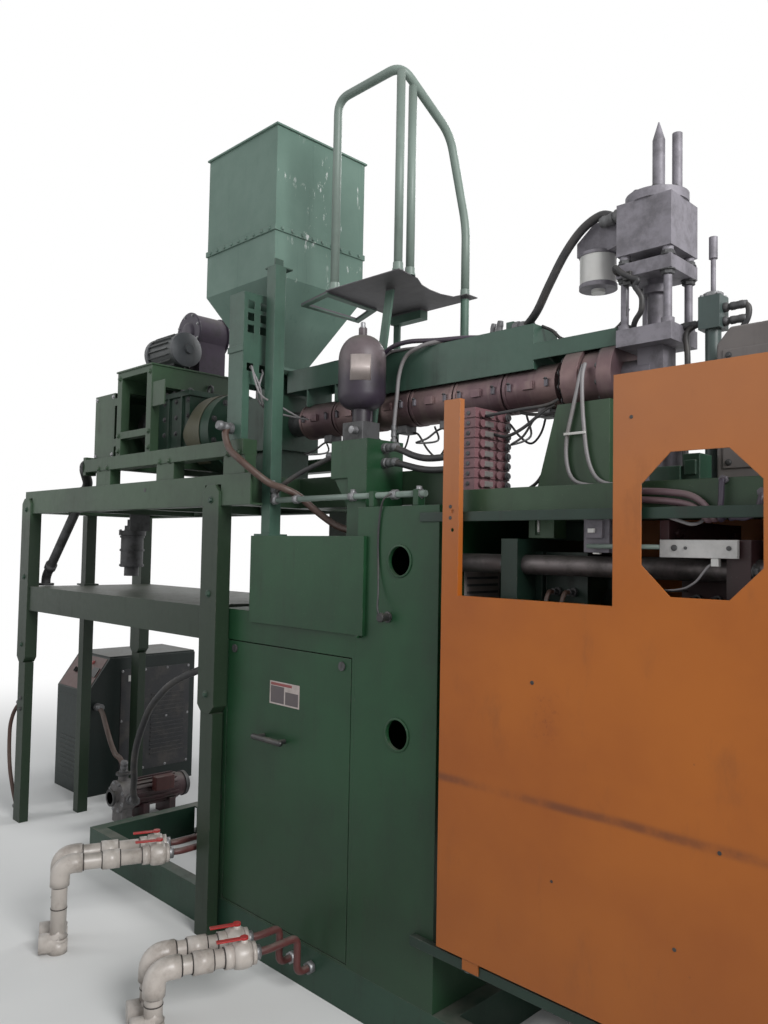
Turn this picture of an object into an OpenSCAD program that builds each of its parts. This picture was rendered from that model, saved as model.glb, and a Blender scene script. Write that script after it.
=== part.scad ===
// Accumulator-head blow moulding machine: extruder on a raised platform, head over a two-platen clamp.
// The extruder axis runs along X, the guard and cabinet face -Y, and Z = 0 is the floor.

/* [Machine layout] */
// Height of the extruder screw axis above the floor
screw_z = 2146; // [2100:1:2200]
// Distance of the screw axis behind the front face
axis_y = 320; // [300:1:340]
// Place of the hopper throat along the machine
throat_x = -861; // [-900:1:-840]
// Place of the accumulator head along the machine
head_x = 955; // [940:1:970]
// Seating gap between fitted pieces
seat = 0.3; // [0.1:0.05:0.5]
// Radial running clearance of guided rods
run = 0.05; // [0.02:0.01:0.1]

/* [Base frame] */
// Left end of the base frame
base_x0 = -1950; // [-2100:10:-1800]
// Height of the base channels
base_h = 150; // [120:5:180]
// Depth of the machine body from front to back
body_d = 640; // [620:5:700]
// Flange width of the base channels
base_flange = 60; // [40:5:80]
// Plate thickness of the base channels
base_t = 8; // [5:1:12]

/* [Cabinet] */
// Width of the service cabinet
cab_w = 820; // [780:5:860]
// Depth of the service cabinet
cab_d = 600; // [500:5:620]
// Top of the service cabinet above the floor
cab_top = 1340; // [1300:5:1380]
// Sheet thickness of the cabinet
cab_t = 3; // [2:0.5:5]
// Width of the access door
door_w = 745; // [700:5:750]
// Height of the access door
door_h = 1050; // [900:5:1100]
// Depth of the folded door edge
door_lip = 20; // [12:1:30]
// Radius of the rolled hem along the foot of the door
hem_r = 5; // [4:0.5:6]
// Sheet thickness of the door
door_t = 2; // [1.5:0.5:3]
// Gap round the sides and top of the door
door_gap = 4; // [2:0.5:6]
// Height of the door handle above the door's lower edge
handle_up = 700; // [500:5:900]
// Length of the door handle
handle_len = 165; // [120:5:200]
// Radius of the quarter-turn locks
lock_r = 12; // [8:1:16]
// Distance of the locks from the door's side edges
lock_in = 46; // [35:1:120]
// Distance of the locks below the door's top edge
lock_down = 30; // [20:1:60]

/* [Upper box] */
// Width of the lid of the upper box
ubox_w = 658; // [600:1:680]
// Lower edge of the lid above the floor
ubox_z0 = 1297; // [1280:1:1320]
// Top of the upper box above the floor
ubox_top = 1641; // [1600:1:1680]
// Depth of the upper box
ubox_d = 300; // [250:5:350]
// How far the lid stands in front of the column
ubox_proud = 15; // [8:1:25]

/* [Clamp columns] */
// Width of a clamp column
col_w = 380; // [360:1:400]
// Top of the clamp columns above the floor
col_top = 1745; // [1700:5:1760]
// Wall thickness of a clamp column
col_t = 12; // [8:1:16]
// Thickness of the column wall that takes the tie bars
col_inner_t = 40; // [30:1:50]
// Distance of the access holes from the outer side of the column
port_x = 207; // [190:1:220]
// Diameter of the round access holes
port_d = 98; // [80:1:110]
// Height of the tie bars of the lower row
tie_z0 = 985; // [960:5:1010]
// Height of the tie bars of the upper row
tie_z1 = 1560; // [1540:5:1580]
// Diameter of the tie bars
tie_d = 60; // [50:1:70]
// Distance of the tie bars from the screw axis, front and back
tie_off = 210; // [200:1:220]

/* [Clamp] */
// Thickness of a platen
platen_t = 60; // [50:1:70]
// Depth of a platen from front to back
platen_d = 520; // [500:5:560]
// Margin of the platen above and below the tie bar centres
platen_edge = 78; // [60:1:90]
// Gap between the mould faces when the clamp is open
open_gap = 290; // [260:5:320]
// Thickness of a mould half
mould_t = 170; // [140:5:180]
// Depth of a mould half from front to back
mould_d = 280; // [240:5:320]
// Lower edge of the mould above the floor
mould_z0 = 1090; // [1060:5:1120]
// Height of the mould
mould_h = 510; // [450:5:520]
// Radius of the bottle cavity
cavity_r = 75; // [50:1:90]
// Outer radius of a clamp cylinder
cyl_r = 75; // [65:1:85]
// Radius of a clamp piston
piston_r = 58; // [45:1:60]
// Radius of a clamp rod
rod_r = 35; // [25:1:40]
// Length of the steel bar on the right mould half
bar_len = 476; // [400:1:500]
// Height of the steel bar
bar_h = 65; // [50:1:75]

/* [Head table] */
// Top of the table above the floor
table_top = 1792; // [1780:1:1810]
// Height of the table beams
table_h = 81; // [70:1:90]
// Thickness of the table plate
table_t = 20; // [12:1:25]
// Radius of the opening for the head
table_hole_r = 105; // [100:1:110]

/* [Guard] */
// Front face of the guard sheet before the columns
guard_out = 30; // [26:1:45]
// Left edge of the guard
guard_x0 = 418; // [400:1:430]
// Right edge of the guard
guard_x1 = 1472; // [1440:1:1490]
// Lower edge of the guard above the floor
guard_z0 = 385; // [370:1:400]
// Top of the guard above the floor
guard_z1 = 2072; // [2040:1:2100]
// Sill of the open-topped window above the floor
sill_z = 1460; // [1420:1:1480]
// Left edge of the open-topped window
sill_x0 = 483; // [470:1:500]
// Right edge of the open-topped window
sill_x1 = 1008; // [980:1:1020]
// Width of the eight-sided window
oct_w = 303; // [280:1:320]
// Height of the eight-sided window
oct_h = 363; // [340:1:380]
// Corner cut of the eight-sided window
oct_cut = 78; // [60:1:100]
// Lower edge of the eight-sided window above the floor
oct_z0 = 1493; // [1480:1:1510]
// Sheet thickness of the guard
guard_t = 3; // [2:0.5:5]
// Depth of the folded guard edges
guard_lip = 22; // [15:1:25]
// Travel of the guard along its rail
guard_travel = 580; // [300:10:600]

/* [Platform] */
// Left end of the platform
plat_x0 = -2800; // [-2820:5:-2780]
// Right end of the platform
plat_x1 = -560; // [-580:5:-545]
// Distance of the platform's front posts before the cabinet face
plat_out = 70; // [68:1:80]
// Top of the platform beams above the floor
plat_top = 1894; // [1885:1:1900]
// Height of the platform beams
plat_beam = 128; // [110:1:140]
// Top of the lower deck above the floor
deck_top = 1347; // [1340:1:1360]
// Height of the lower deck beams
deck_beam = 138; // [120:1:150]
// Width of the post sleeves
sleeve_w = 118; // [110:1:125]
// Depth of the post sleeves
sleeve_d = 66; // [60:1:68]
// Depth of the legs
leg_d = 50; // [40:1:55]
// Length of the sleeves below the platform top
sleeve_len = 955; // [900:5:980]
// Width of the legs
leg_w = 90; // [80:1:95]
// Corner cut of the sleeves
sleeve_cut = 30; // [15:1:40]
// Thickness of the deck plates
deck_t = 6; // [4:1:10]

/* [Machine rails] */
// Left end of the drive rails
rail_x0 = -2026; // [-2060:1:-1990]
// Right end of the drive rails
rail_x1 = -620; // [-635:1:-600]
// Front face of the front rail before the cabinet face
rail_out = 60; // [50:1:70]
// Top of the drive rails above the floor
rail_top = 2034; // [2025:1:2040]
// Height of the drive rails
rail_h = 64; // [55:1:75]
// Width of a drive rail
rail_w = 70; // [60:1:80]

/* [Drive] */
// Width of the drive frame
dframe_w = 341; // [320:1:360]
// Left face of the drive frame
dframe_x0 = -1809; // [-1820:1:-1800]
// Front face of the drive frame behind the cabinet face
dframe_y0 = 0; // [-10:1:10]
// Depth of the drive frame
dframe_d = 535; // [530:1:538]
// Top of the drive frame above the floor
dframe_top = 2478; // [2470:1:2490]
// Height of the channels on top of the drive frame
dframe_beam = 100; // [80:1:110]
// Side of the drive frame posts
dframe_post = 45; // [35:1:55]
// Length of the gearbox along the screw
gear_len = 380; // [360:1:400]
// Width of the gearbox
gear_w = 330; // [300:1:340]
// Radius of the gearbox pulley
big_pulley_r = 120; // [100:1:125]
// Radius of the motor pulley
small_pulley_r = 60; // [50:1:80]
// Distance of the motor shaft behind the screw axis
motor_back = 330; // [325:1:335]
// Radius of the drive motor
motor_r = 105; // [90:1:115]
// Radius of the thrust housing
thrust_r = 110; // [100:1:125]
// Radius of the round cowl on the thrust housing
cowl_r = 190; // [160:1:195]

/* [Extruder] */
// Radius of the screw
screw_r = 32; // [25:1:40]
// Depth of the screw's flight
flight_h = 8; // [6:0.5:10]
// Length of one turn of the screw's flight
flight_pitch = 80; // [70:1:90]
// Width of the land on top of the flight
flight_land = 10; // [8:0.5:12]
// Start of the flight from the origin
flight_x0 = -1000; // [-1010:1:-990]
// Radius of the bare barrel
barrel_r = 55; // [50:1:60]
// Outer radius of the heater bands
heater_r = 75; // [68:1:82]
// Number of heater bands
heaters = 6; // [4:1:8]
// Gap between heater bands
heater_gap = 14; // [6:1:25]
// Left end of the heated barrel length
heat_x0 = -640; // [-660:1:-620]
// Right end of the barrel
barrel_x1 = 686; // [670:1:700]
// Outer radius of the adapter
adapter_r = 108; // [95:1:112]
// Half width of the feed throat block
throat_w = 120; // [110:1:130]

/* [Barrel cover] */
// Lower edge of the barrel cover above the screw axis
cover_up = 54; // [50:1:60]
// Height of the barrel cover
cover_h = 152; // [140:1:160]
// Width of the barrel cover
cover_w = 140; // [130:1:144]
// Sheet thickness of the barrel cover
cover_t = 2; // [1.5:0.5:3]
// Left end of the long cover
cover_x0 = -140; // [-160:1:-130]
// Right end of the long cover
cover_x1 = 560; // [540:1:580]

/* [Hopper] */
// Side of the square hopper
hop_w = 506; // [480:1:530]
// Lower edge of the straight hopper walls above the floor
hop_z0 = 2736; // [2720:1:2750]
// Top of the hopper above the floor
hop_top = 3380; // [3300:5:3450]
// Height of the wall seam above the straight walls' lower edge
seam_up = 200; // [150:5:250]
// Side of the hopper outlet
hop_out = 150; // [130:1:160]
// Top of the feed throat above the floor
throat_top = 2372; // [2360:1:2385]
// Wall thickness of the hopper
hop_t = 3; // [2:0.5:5]
// Travel of the slide gate
gate_travel = 130; // [80:1:140]

/* [Posts and duct] */
// Side of the square hopper post
post_w = 55; // [45:1:60]
// Left face of the hopper post
post_x0 = -592; // [-600:1:-585]
// Width of the cable duct
duct_w = 100; // [80:1:105]
// Depth of the cable duct
duct_d = 140; // [120:1:150]
// Top of the cable duct above the floor
duct_top = 2640; // [2600:5:2680]
// Height of the joint in the cable duct above the floor
duct_joint = 2400; // [2350:5:2450]
// Side of the square duct holes
duct_hole = 32; // [20:1:36]

/* [Service platform] */
// Left end of the service platform
walk_x0 = -308; // [-316:1:-300]
// Width of the service platform along the machine
walk_w = 392; // [385:1:400]
// Front edge of the service platform behind the cabinet face
walk_y0 = 92; // [86:1:98]
// Depth of the service platform
walk_d = 464; // [458:1:470]
// Underside of the service platform's sheet above the floor
walk_z = 2604; // [2590:1:2620]
// Thickness of the service platform's sheet
walk_t = 4; // [3:0.5:6]
// Height of the hand rail above the sheet
rail_up = 765; // [700:5:800]
// Radius of the hand rail tube
tube_r = 17; // [14:1:21]

/* [Bladder bottle] */
// Radius of the bladder bottle
bottle_r = 112; // [100:1:115]
// Length of the bladder bottle with its ends
bottle_len = 310; // [290:1:330]
// Place of the bladder bottle along the machine
bottle_x = -122; // [-124:1:-118]
// Distance of the bladder bottle behind the cabinet face
bottle_y = 122; // [120:1:124]
// Top of the bottle's stand above the floor
stand_top = 2000; // [1980:1:2010]

/* [Head] */
// Side of the square head plates
head_w = 174; // [160:1:180]
// Top of the lower head plate above the floor
low_plate_top = 2269; // [2260:1:2280]
// Lower face of the upper head plate above the floor
up_plate_z = 2426; // [2400:1:2440]
// Top of the head's cylinder block above the floor
block_top = 2652; // [2630:1:2680]
// Radius of the push ram
ram_r = 26.5; // [20:0.5:30]
// Travel of the push ram
ram_travel = 100; // [50:1:108]
// Radius of the head columns
head_col_r = 12; // [8:1:14]
// Radius of the head body
head_r = 80; // [70:1:84]
// Height of the die's lower face above the floor
die_z = 1735; // [1725:1:1745]

/* [Side cylinder] */
// Place of the side cylinder along the machine
side_x = 1127; // [1115:1:1140]
// Travel of the side cylinder's rod
side_travel = 90; // [60:1:95]
// Radius of the side cylinder's rod
side_rod_r = 7; // [5:0.5:9]

/* [Power unit] */
// Left face of the power unit
unit_x0 = -3340; // [-3360:5:-3320]
// Width of the power unit
unit_w = 445; // [420:5:460]
// Front face of the power unit behind the cabinet face
unit_y0 = 420; // [400:5:440]
// Depth of the power unit
unit_d = 770; // [600:5:800]
// Height of the power unit
unit_h = 870; // [820:5:900]
// Radius of the control knobs
knob_r = 16; // [10:1:20]

/* [Water pipes] */
// Outer radius of the water pipes
pvc_r = 30; // [25:1:32]
// Outer radius of the pipe sockets
socket_r = 37; // [33:1:40]
// Distance between the two pipes of a pair
pair_gap = 110; // [95:1:120]
// Length of a valve lever
lever_len = 95; // [70:1:110]

/* [Hidden] */
$fn = 40;

door_x1 = -20;
door_x0 = door_x1 - door_w;
door_z0 = base_h + 10;
col_x1 = 2*head_x - col_w;
body_x1 = 2*head_x;
platen_x = head_x - open_gap/2 - mould_t - platen_t;
clamp_stroke = open_gap/2 - seat;
cyl_in = 280;
clamp_z = (tie_z0 + tie_z1)/2;
tie_y = [axis_y - tie_off, axis_y + tie_off];
tie_x0 = col_w - col_inner_t;
lock_z = door_z0 + door_h - lock_down;
handle_x = -447;
lid_x0 = -611;
rail_z0 = rail_top - rail_h;
back_rail_y = 2*axis_y + rail_out - rail_w;
plat_y0 = -plat_out;
plat_y1 = 2*axis_y + plat_out;
guard_y0 = -guard_out;
gear_x1 = -1380;
pulley_x = dframe_x0 - 120;
motor_y = axis_y + motor_back;
cover_z = screw_z + cover_up;
head_x0 = head_x - head_w/2;
flange_r = 130;
flange_t = 20;
shaft_z = screw_z + 84;
input_r = 20;
gate_t = 6;
hop_x0 = throat_x - hop_w/2;
hop_y0 = axis_y - hop_w/2;
hem_in = hem_r + 0.2;
walk_x1 = walk_x0 + walk_w;
walk_y1 = walk_y0 + walk_d;
walk_post = [walk_x1 - 40, walk_y1 - 35];
post_x1 = post_x0 + post_w;
panel_y = unit_y0 + 140;
panel_z0 = unit_h - 215;
panel_tilt = atan2(unit_h - 12 - panel_z0, panel_y - unit_y0);

// Routes of the hoses, from end to end
head_hose = [[867.7, 262, 2632], [847, 262, 2632], [800, 262, 2650], [735, 262, 2625], [671, 262, 2562],
    [606, 270, 2475], [547, 290, 2406], [490, 315, 2374], [470, 320, 2371], [440.3, 320, 2371]];
brown_hose = [[-700, -60.3, 2080], [-700, -80, 2080], [-692, -96, 2050], [-660, -95, 1990],
    [-590, -95, 1945], [-540, -60, 1895], [-500, -10, 1850], [-455, 20, 1832], [-420, 72, 1802],
    [-370, 120, 1745], [-288, 150, 1690], [-200, 150, 1668], [-160, 150, 1666], [-124.3, 150, 1666]];
black_hose = [[-217.3, 100, 1950], [-250, 100, 1950], [-320, 85, 1925], [-400, 68, 1895],
    [-470, 45, 1855], [-515, 30, 1815], [-515, 30, 1797.3]];
upper_hose = [[-23.7, 150, 1970], [20, 150, 1970], [66, 150, 1956], [120, 150, 1935], [178, 150, 1921],
    [240, 150, 1918], [300, 150, 1922], [350, 150, 1931], [383.7, 150, 1931]];
lower_hose = [[-23.7, 150, 1915], [20, 150, 1915], [67, 150, 1906], [140, 150, 1888], [202, 150, 1878],
    [270, 150, 1876], [320, 150, 1880], [350, 150, 1885], [383.7, 150, 1885]];
pump_hose = [[-820.3, 300, 1100], [-860, 300, 1100], [-1000, 300, 1090], [-1250, 300, 1040],
    [-1533, 300, 949], [-1700, 300, 880], [-1818, 300, 804], [-1920, 300, 715], [-1986, 300, 619],
    [-2030, 300, 540], [-2060, 300, 460], [-2080, 305, 380], [-2100, 320, 300], [-2140, 340, 220],
    [-2170, 368, 162], [-2215, 380, 150], [-2244.7, 380, 150]];
unit_hose = [[-2894.7, 480, 560], [-2860, 480, 560], [-2790, 470, 530], [-2700, 450, 470],
    [-2600, 430, 400], [-2500, 410, 352], [-2420, 396, 345], [-2368, 386, 332], [-2335, 380, 300],
    [-2335, 380, 280.3]];

// Directions, side vectors and rings of a round tube swept along points
function unit(v) = v/norm(v);
function heading(p, i) = unit(p[min(i + 1, len(p) - 1)] - p[max(i - 1, 0)]);
function sides(p) = [for (i = 0, u = unit(cross(heading(p, 0), [0.31, 0.52, 0.8])); i < len(p);
    i = i + 1, u = i < len(p) ? unit(u - (u*heading(p, i))*heading(p, i)) : u) u];
// Each corner of a route rounded over b
function bent(p, b) = [p[0], for (i = [1:len(p) - 2], t = [0:0.25:1]) let (
    a = p[i] + b*unit(p[i - 1] - p[i]), c = p[i] + b*unit(p[i + 1] - p[i]))
    (1 - t)*(1 - t)*a + 2*t*(1 - t)*p[i] + t*t*c, p[len(p) - 1]];
module tube(p, r, n = 8) {
    u = sides(p);
    last = n*(len(p) - 1);
    polyhedron([for (i = [0:len(p) - 1], k = [0:n - 1]) p[i] + r*(cos(360*k/n)*u[i]
        + sin(360*k/n)*cross(heading(p, i), u[i]))],
        concat([[for (k = [0:n - 1]) k]], [[for (k = [0:n - 1]) last + n - 1 - k]],
            [for (i = [0:len(p) - 2], k = [0:n - 1])
                [n*i + k, n*i + n + k, n*i + n + (k + 1)%n, n*i + (k + 1)%n]]));
}

// An axis-parallel block between two corners
module block(a, b) { translate(a) cube(b - a); }

// Round bars along X, Y and Z
module bar_x(x0, x1, y, z, r) { translate([x0, y, z]) rotate([0, 90, 0]) cylinder(r = r, h = x1 - x0); }
module bar_y(x, y0, y1, z, r) { translate([x, y0, z]) rotate([-90, 0, 0]) cylinder(r = r, h = y1 - y0); }
module bar_z(x, y, z0, z1, r) { translate([x, y, z0]) cylinder(r = r, h = z1 - z0); }

// A copy turned end for end about the head's cross plane
module other_side() { translate([2*head_x, 0, 0]) mirror([1, 0, 0]) children(); }

// A C channel along X, w wide in Y and h high, open to +Y or, turned, to -Y
module channel(x0, x1, y, z, w, h, t, back = false) {
    cut = back ? y - 1 : y + t;
    difference() {
        block([x0, y, z], [x1, y + w, z + h]);
        block([x0 - 1, cut, z + t], [x1 + 1, cut + w - t + 1, z + h - t]);
    }
}

module base_frame() {
    color("#2a5a45") {
        channel(base_x0, body_x1, 0, 0, base_flange, base_h, base_t);
        channel(base_x0, body_x1, body_d - base_flange, 0, base_flange, base_h, base_t, true);
        for (x = [base_x0, -cab_w, -base_flange, col_w, col_x1 - base_flange, body_x1 - base_flange])
            block([x, base_flange, 0], [x + base_flange, body_d - base_flange, base_h]);
    }
}

module cabinet() {
    color("#2f7a4d") {
        difference() {
            block([-cab_w, 0, base_h], [0, cab_d, cab_top]);
            block([cab_t - cab_w, cab_t, base_h + cab_t], [-cab_t, cab_d - cab_t, cab_top - cab_t]);
            block([door_x0 - door_gap, -1, door_z0 - seat],
                [door_x1 + door_gap, cab_t + 1, door_z0 + door_h + door_gap]);
        }
        block([lid_x0 + 6, 0, cab_top], [0, ubox_d, ubox_top]);
        block([lid_x0, -ubox_proud, ubox_z0], [lid_x0 + ubox_w, 0, ubox_top + 2]);
        block([lid_x0 + ubox_w - 30, -ubox_proud - 6, ubox_z0 - 8], [lid_x0 + ubox_w - 18, 0, ubox_z0]);
    }
}

// Door with folded edges and a rolled hem along its foot, on which it tilts
module cabinet_door() {
    color("#2c7248") difference() {
        union() {
            difference() {
                block([door_x0, 0, door_z0], [door_x1, door_lip, door_z0 + door_h]);
                block([door_x0 + door_t, door_t, door_z0 + door_t],
                    [door_x1 - door_t, door_lip + 1, door_z0 + door_h - door_t]);
                block([door_x0 - 1, -1, door_z0 - 1], [door_x1 + 1, hem_in, door_z0 + hem_in]);
            }
            bar_x(door_x0, door_x1, hem_in, door_z0 + hem_in, hem_r);
        }
        for (x = [door_x0 + lock_in, door_x1 - lock_in])
            bar_y(x, -1, door_t + 1, lock_z, lock_r + run);
    }
}

module door_handle() {
    z = door_z0 + handle_up;
    reach = 38;
    grip_r = 11;
    color("#15181a") {
        bar_x(handle_x - handle_len/2, handle_x + handle_len/2, -reach, z, grip_r);
        for (side = [-1, 1])
            translate([handle_x + side*handle_len/2, -reach, z]) sphere(r = grip_r);
        for (side = [-1, 1])
            bar_y(handle_x + side*(handle_len/2 - 18), -reach, 0, z, 9);
    }
}

// Quarter-turn lock: slotted head, shaft through the door and a cam behind it, pointing to side dir
module lock(x, dir) {
    cam_y = door_lip + seat;
    color("#3a3f42") {
        difference() {
            bar_y(x, -6, -seat, lock_z, lock_r + 4);
            block([x - 1.5, -7, lock_z - lock_r], [x + 1.5, -4, lock_z + lock_r]);
        }
        bar_y(x, -seat, cam_y + 4, lock_z, lock_r);
        block([min(x, x + 45*dir), cam_y, lock_z - 8], [max(x, x + 45*dir), cam_y + 4, lock_z + 8]);
    }
}
module lock_left() { lock(door_x0 + lock_in, 1); }
module lock_right() { lock(door_x1 - lock_in, -1); }

module column() {
    difference() {
        block([0, 0, base_h], [col_w, body_d, col_top]);
        block([col_t, col_t, base_h + col_t], [tie_x0, body_d - col_t, col_top - col_t]);
        for (z = [tie_z0, tie_z1]) bar_y(port_x, -1, col_t + 1, z, port_d/2);
        for (z = [tie_z0, tie_z1], y = tie_y) bar_x(tie_x0 - 1, col_w + 1, y, z, tie_d/2 + run);
        bar_x(tie_x0 - 1, col_w + 1, axis_y, clamp_z, rod_r + 1);
    }
}
module left_column() { color("#2f7a4d") column(); }
module right_column() { color("#2f7a4d") other_side() column(); }

module tie_bars() {
    nut_h = 40;
    color("#9aa0a4") for (z = [tie_z0, tie_z1], y = tie_y) {
        bar_x(tie_x0 - nut_h - 5, 2*head_x - tie_x0 + nut_h + 5, y, z, tie_d/2);
        for (x = [tie_x0 - nut_h, 2*head_x - tie_x0])
            translate([x, y, z]) rotate([0, 90, 0]) cylinder(r = tie_d*0.8, h = nut_h, $fn = 6);
    }
}

module clamp_cylinder() {
    difference() {
        bar_x(tie_x0 - cyl_in, tie_x0, axis_y, clamp_z, cyl_r);
        bar_x(tie_x0 - cyl_in + 20, tie_x0 - 30, axis_y, clamp_z, piston_r + run);
        bar_x(tie_x0 - 31, tie_x0 + 1, axis_y, clamp_z, rod_r + run);
    }
}
module clamp_cylinders() {
    color("#3d4246") {
        clamp_cylinder();
        other_side() clamp_cylinder();
    }
}

// Platen with its piston and rod
module platen() {
    piston_x = tie_x0 - cyl_in + 30;
    difference() {
        union() {
            block([platen_x, axis_y - platen_d/2, tie_z0 - platen_edge],
                [platen_x + platen_t, axis_y + platen_d/2, tie_z1 + platen_edge]);
            bar_x(piston_x, platen_x, axis_y, clamp_z, rod_r);
            bar_x(piston_x, piston_x + 40, axis_y, clamp_z, piston_r);
        }
        for (z = [tie_z0, tie_z1], y = tie_y)
            bar_x(platen_x - 1, platen_x + platen_t + 1, y, z, tie_d/2 + run);
    }
}
module platen_left() { color("#24563e") platen(); }
module platen_right() { color("#24563e") other_side() platen(); }

// Mould half on its clamping plate, with half of the bottle cavity in its face
module mould() {
    plate_x = platen_x + platen_t;
    face_x = head_x - open_gap/2;
    plate_t = 25;
    ledge = 22;
    neck_r = 26;
    body_top = 330;
    difference() {
        union() {
            block([plate_x, axis_y - mould_d/2 - ledge, mould_z0 - ledge],
                [plate_x + plate_t, axis_y + mould_d/2 + ledge, mould_z0 + mould_h]);
            block([plate_x + plate_t, axis_y - mould_d/2, mould_z0],
                [face_x, axis_y + mould_d/2, mould_z0 + mould_h]);
        }
        translate([face_x, axis_y, mould_z0]) rotate_extrude() polygon([[0, 60], [cavity_r - 8, 60],
            [cavity_r, 68], [cavity_r, body_top], [cavity_r - 14, body_top + 34],
            [neck_r, body_top + 66], [neck_r, mould_h + 1], [0, mould_h + 1]]);
    }
}
module mould_left() { color("#6b2f35") mould(); }
module mould_right() {
    face_x = head_x + open_gap/2;
    bar_t = 25;
    bar_z0 = mould_z0 + mould_h + 23;
    color("#6b2f35") other_side() mould();
    color("#c9c6c8") {
        block([face_x, axis_y - 32 - bar_len/2, bar_z0], [face_x + bar_t, axis_y - 32 + bar_len/2, bar_z0 + bar_h]);
        for (y = [-90, 60]) block([face_x, axis_y + y, mould_z0 + mould_h], [face_x + bar_t, axis_y + y + 30, bar_z0]);
        for (y = [-220, -185, 150]) bar_x(face_x + bar_t, face_x + bar_t + 8, axis_y + y, bar_z0 + bar_h/2, 11);
    }
}

module head_table() {
    z0 = table_top - table_h;
    beam_h = table_h - table_t;
    beam_w = 70;
    stand_x0 = 612;
    stand_x1 = 868;
    stand_top = screw_z - 86;
    lean = 74;
    wall = 12;
    color("#2b6b49") {
        difference() {
            block([col_w, 40, table_top - table_t], [col_x1, 600, table_top]);
            bar_z(head_x, axis_y, z0, table_top + 1, table_hole_r);
        }
        channel(col_w, col_x1, 40, z0, beam_w, beam_h, 8);
        channel(col_w, col_x1, 600 - beam_w, z0, beam_w, beam_h, 8, true);
        for (x = [600, 1260]) block([x, 40 + beam_w, z0], [x + 50, 600 - beam_w, table_top - table_t]);
        difference() {
            block([645, 112, z0 - 70], [735, 180, z0]);
            block([668, 111, z0 - 60], [686, 118, z0 - 8]);
        }
        difference() {
            translate([0, axis_y + 120, 0]) rotate([90, 0, 0]) linear_extrude(240)
                polygon([[stand_x0, table_top], [stand_x1, table_top], [stand_x1, stand_top],
                    [stand_x0 + lean, stand_top]]);
            translate([0, axis_y + 120 - wall, 0]) rotate([90, 0, 0]) linear_extrude(240 - 2*wall)
                polygon([[stand_x0 + 2*wall, table_top - 1], [stand_x1 - wall, table_top - 1],
                    [stand_x1 - wall, stand_top - 3*wall], [stand_x0 + lean, stand_top - 3*wall]]);
            bar_x(stand_x0, stand_x1 + 1, axis_y, screw_z, adapter_r + seat);
            bar_z(head_x, axis_y, table_top, table_top + flange_t + 20, flange_r + 1);
        }
    }
}

module guard_rail() {
    color("#3a3f42") {
        block([300, -22, guard_z0 - 40], [body_x1, 0, guard_z0 - 10]);
        block([300, -6, 1690], [body_x1, 0, 1720]);
    }
}

// Guard door: one folded sheet with an open-topped window, an eight-sided window and rail shoes
module front_guard() {
    oct_x = guard_x1 - (guard_x1 - sill_x1 - oct_w)/2 - oct_w;
    back_y = guard_lip - guard_out;
    color("#d9902f") {
        difference() {
            translate([0, guard_t - guard_out, 0]) rotate([90, 0, 0]) linear_extrude(guard_t) difference() {
                polygon([[guard_x0, guard_z0], [guard_x1, guard_z0], [guard_x1, guard_z1],
                    [sill_x1, guard_z1], [sill_x1, sill_z], [sill_x0, sill_z],
                    [sill_x0, guard_z1], [guard_x0, guard_z1]]);
                translate([oct_x, oct_z0]) polygon([[oct_cut, 0], [oct_w - oct_cut, 0], [oct_w, oct_cut],
                    [oct_w, oct_h - oct_cut], [oct_w - oct_cut, oct_h], [oct_cut, oct_h],
                    [0, oct_h - oct_cut], [0, oct_cut]]);
            }
            for (z = [1662, 1720]) bar_y((guard_x0 + sill_x0)/2 + 8, -guard_out - 1, guard_t - guard_out + 1, z, 6);
        }
        for (x = [guard_x0, sill_x0 - guard_t]) guard_edge(x, x + guard_t, x > guard_x0 ? sill_z : guard_z0, guard_z1);
        guard_edge(sill_x1, sill_x1 + guard_t, sill_z, guard_z1);
        guard_edge(guard_x1 - guard_t, guard_x1, guard_z0, guard_z1);
        guard_edge(guard_x0, guard_x1, guard_z0, guard_z0 + guard_t);
        guard_edge(guard_x0, sill_x0, guard_z1 - guard_t, guard_z1);
        guard_edge(sill_x1, guard_x1, guard_z1 - guard_t, guard_z1);
        guard_edge(sill_x0 - guard_t, sill_x1 + guard_t, sill_z - guard_t, sill_z);
    }
    color("#55585a") {
        for (x = [guard_x0 + 100, guard_x1 - 160]) difference() {
            block([x, guard_t - guard_out, guard_z0 - 34], [x + 60, back_y, guard_z0]);
            block([x - 1, -22 - seat, guard_z0 - 35], [x + 61, 1, guard_z0 - 10 + seat]);
        }
        for (x = [guard_x0 + guard_t, guard_x1 - guard_t - 50])
            block([x, guard_t - guard_out, 1684], [x + 50, -6 - seat, 1726]);
    }
}
module guard_edge(x0, x1, z0, z1) { block([x0, guard_t - guard_out, z0], [x1, guard_lip - guard_out, z1]); }

// Square post sleeve with its corners cut, seen from the front
module sleeve(x, y) {
    top = plat_top - 40;
    low = top - sleeve_len + 10;
    translate([x, y + sleeve_d, 0]) rotate([90, 0, 0]) linear_extrude(sleeve_d)
        polygon([[sleeve_cut, low], [sleeve_w - sleeve_cut, low], [sleeve_w, low + sleeve_cut],
            [sleeve_w, top - sleeve_cut], [sleeve_w - sleeve_cut, top], [sleeve_cut, top],
            [0, top - sleeve_cut], [0, low + sleeve_cut]]);
}

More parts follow.
